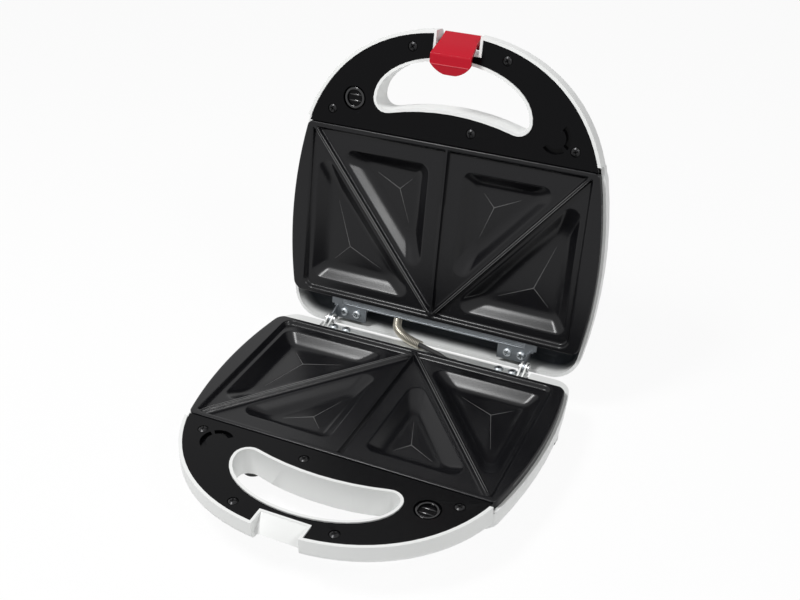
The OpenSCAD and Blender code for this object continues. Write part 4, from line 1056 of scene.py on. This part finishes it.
def seen_directly(tree):
    """Value that is 1 for camera, glossy and transmission rays."""
    path = tree.nodes.new("ShaderNodeLightPath")
    total = path.outputs["Is Camera Ray"]
    for label in ("Is Glossy Ray", "Is Transmission Ray"):
        larger = tree.nodes.new("ShaderNodeMath")
        larger.operation = "MAXIMUM"
        tree.links.new(total, larger.inputs[0])
        tree.links.new(path.outputs[label], larger.inputs[1])
        total = larger.outputs[0]
    return total


def add_camera(scene, s):
    """The camera at its place in the settings."""
    camera = bpy.data.objects.new("camera", bpy.data.cameras.new("camera"))
    camera.location = s.camera_at
    camera.rotation_euler = s.camera_turn
    camera.data.lens = s.lens
    camera.data.sensor_width = 36.0
    camera.data.clip_start = 0.01
    scene.collection.objects.link(camera)
    scene.camera = camera


def add_world(scene, ambient):
    """A world that shows white and lights the object with the ambient strength."""
    world = bpy.data.worlds.new("studio")
    world.use_nodes = True
    scene.world = world
    tree = world.node_tree
    glow = tree.nodes["Background"]
    glow.inputs["Color"].default_value = (1.0, 1.0, 1.0, 1.0)
    strength = tree.nodes.new("ShaderNodeMix")
    strength.inputs["A"].default_value = ambient
    strength.inputs["B"].default_value = 1.0
    tree.links.new(seen_directly(tree), strength.inputs["Factor"])
    tree.links.new(strength.outputs["Result"], glow.inputs["Strength"])


def white_paper(glow_share):
    """Matt paper that adds its own white to what it reflects, so its shadows stay."""
    paper = bpy.data.materials.new("white paper")
    paper.use_nodes = True
    tree = paper.node_tree
    shader = tree.nodes["Principled BSDF"]
    shader.inputs["Base Color"].default_value = (FLOOR_SHADE, FLOOR_SHADE, FLOOR_SHADE, 1.0)
    shader.inputs["Roughness"].default_value = 0.9
    shader.inputs["Specular IOR Level"].default_value = 0.0
    glow = tree.nodes.new("ShaderNodeEmission")
    share = tree.nodes.new("ShaderNodeMath")
    share.operation = "MULTIPLY"
    share.inputs[1].default_value = glow_share
    mix = tree.nodes.new("ShaderNodeMixShader")
    tree.links.new(seen_directly(tree), share.inputs[0])
    tree.links.new(share.outputs[0], mix.inputs["Fac"])
    tree.links.new(shader.outputs[0], mix.inputs[1])
    tree.links.new(glow.outputs[0], mix.inputs[2])
    tree.links.new(mix.outputs[0], tree.nodes["Material Output"].inputs["Surface"])
    return paper


def add_floor(scene, glow_share):
    """A square of white paper under the object."""
    corners = [(x * FLOOR_HALF, y * FLOOR_HALF, 0.0)
               for x, y in ((-1, -1), (1, -1), (1, 1), (-1, 1))]
    mesh = bpy.data.meshes.new("floor")
    mesh.from_pydata(corners, [], [(0, 1, 2, 3)])
    mesh.materials.append(white_paper(glow_share))
    floor = bpy.data.objects.new("floor", mesh)
    scene.collection.objects.link(floor)


class TOASTER_OT_stage(bpy.types.Operator):
    """Build the camera, the lamps, the floor and the world"""

    bl_idname = "toaster.stage"
    bl_label = "Stage"

    def execute(self, context):
        """White floor and world, an overhead and a front softbox, and the camera."""
        scene = context.scene
        s = scene.toaster_stage
        scene.view_settings.view_transform = "Standard"
        add_camera(scene, s)
        add_lamp("overhead softbox", *OVERHEAD, s.overhead)
        add_lamp("front softbox", *FRONT, s.front)
        add_world(scene, s.ambient)
        add_floor(scene, s.floor_glow)
        return {"FINISHED"}


# ---- panel and registration -------------------------------------------------


class TOASTER_PT_panel(bpy.types.Panel):
    """Settings and building steps"""

    bl_idname = "TOASTER_PT_panel"
    bl_label = "Sandwich toaster"
    bl_space_type = "VIEW_3D"
    bl_region_type = "UI"
    bl_category = "Toaster"

    def draw(self, context):
        """Every setting, then a button for each step."""
        for holder in SETTINGS:
            group = getattr(context.scene, holder)
            for name in group.bl_rna.properties.keys():
                if name not in ("rna_type", "name"):
                    self.layout.prop(group, name)
        for step in STEPS:
            self.layout.operator(step.bl_idname)


SETTINGS = {"toaster_colours": ColourSettings, "toaster_plates": PlateSettings,
            "toaster_mouldings": MouldingSettings, "toaster_link": LinkSettings,
            "toaster_stage": StageSettings}
STEPS = (TOASTER_OT_stage, TOASTER_OT_frame_finishes, TOASTER_OT_cooking_plates,
         TOASTER_OT_creases, TOASTER_OT_mouldings, TOASTER_OT_recess_trim, TOASTER_OT_metalwork,
         TOASTER_OT_hinge_washers, TOASTER_OT_latch, TOASTER_OT_rail_ribs, TOASTER_OT_link_lead)


def register():
    """Registers the classes and hangs the settings on the scene."""
    for holder, group in SETTINGS.items():
        bpy.utils.register_class(group)
        setattr(bpy.types.Scene, holder, PointerProperty(type=group))
    for item in (*STEPS, TOASTER_PT_panel):
        bpy.utils.register_class(item)


def unregister():
    """Undoes register."""
    for item in (TOASTER_PT_panel, *reversed(STEPS)):
        bpy.utils.unregister_class(item)
    for holder, group in SETTINGS.items():
        delattr(bpy.types.Scene, holder)
        bpy.utils.unregister_class(group)


def main():
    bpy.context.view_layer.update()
    register()
    for step in STEPS:
        group, name = step.bl_idname.split(".")
        getattr(getattr(bpy.ops, group), name)()


if __name__ == "__main__":
    main()
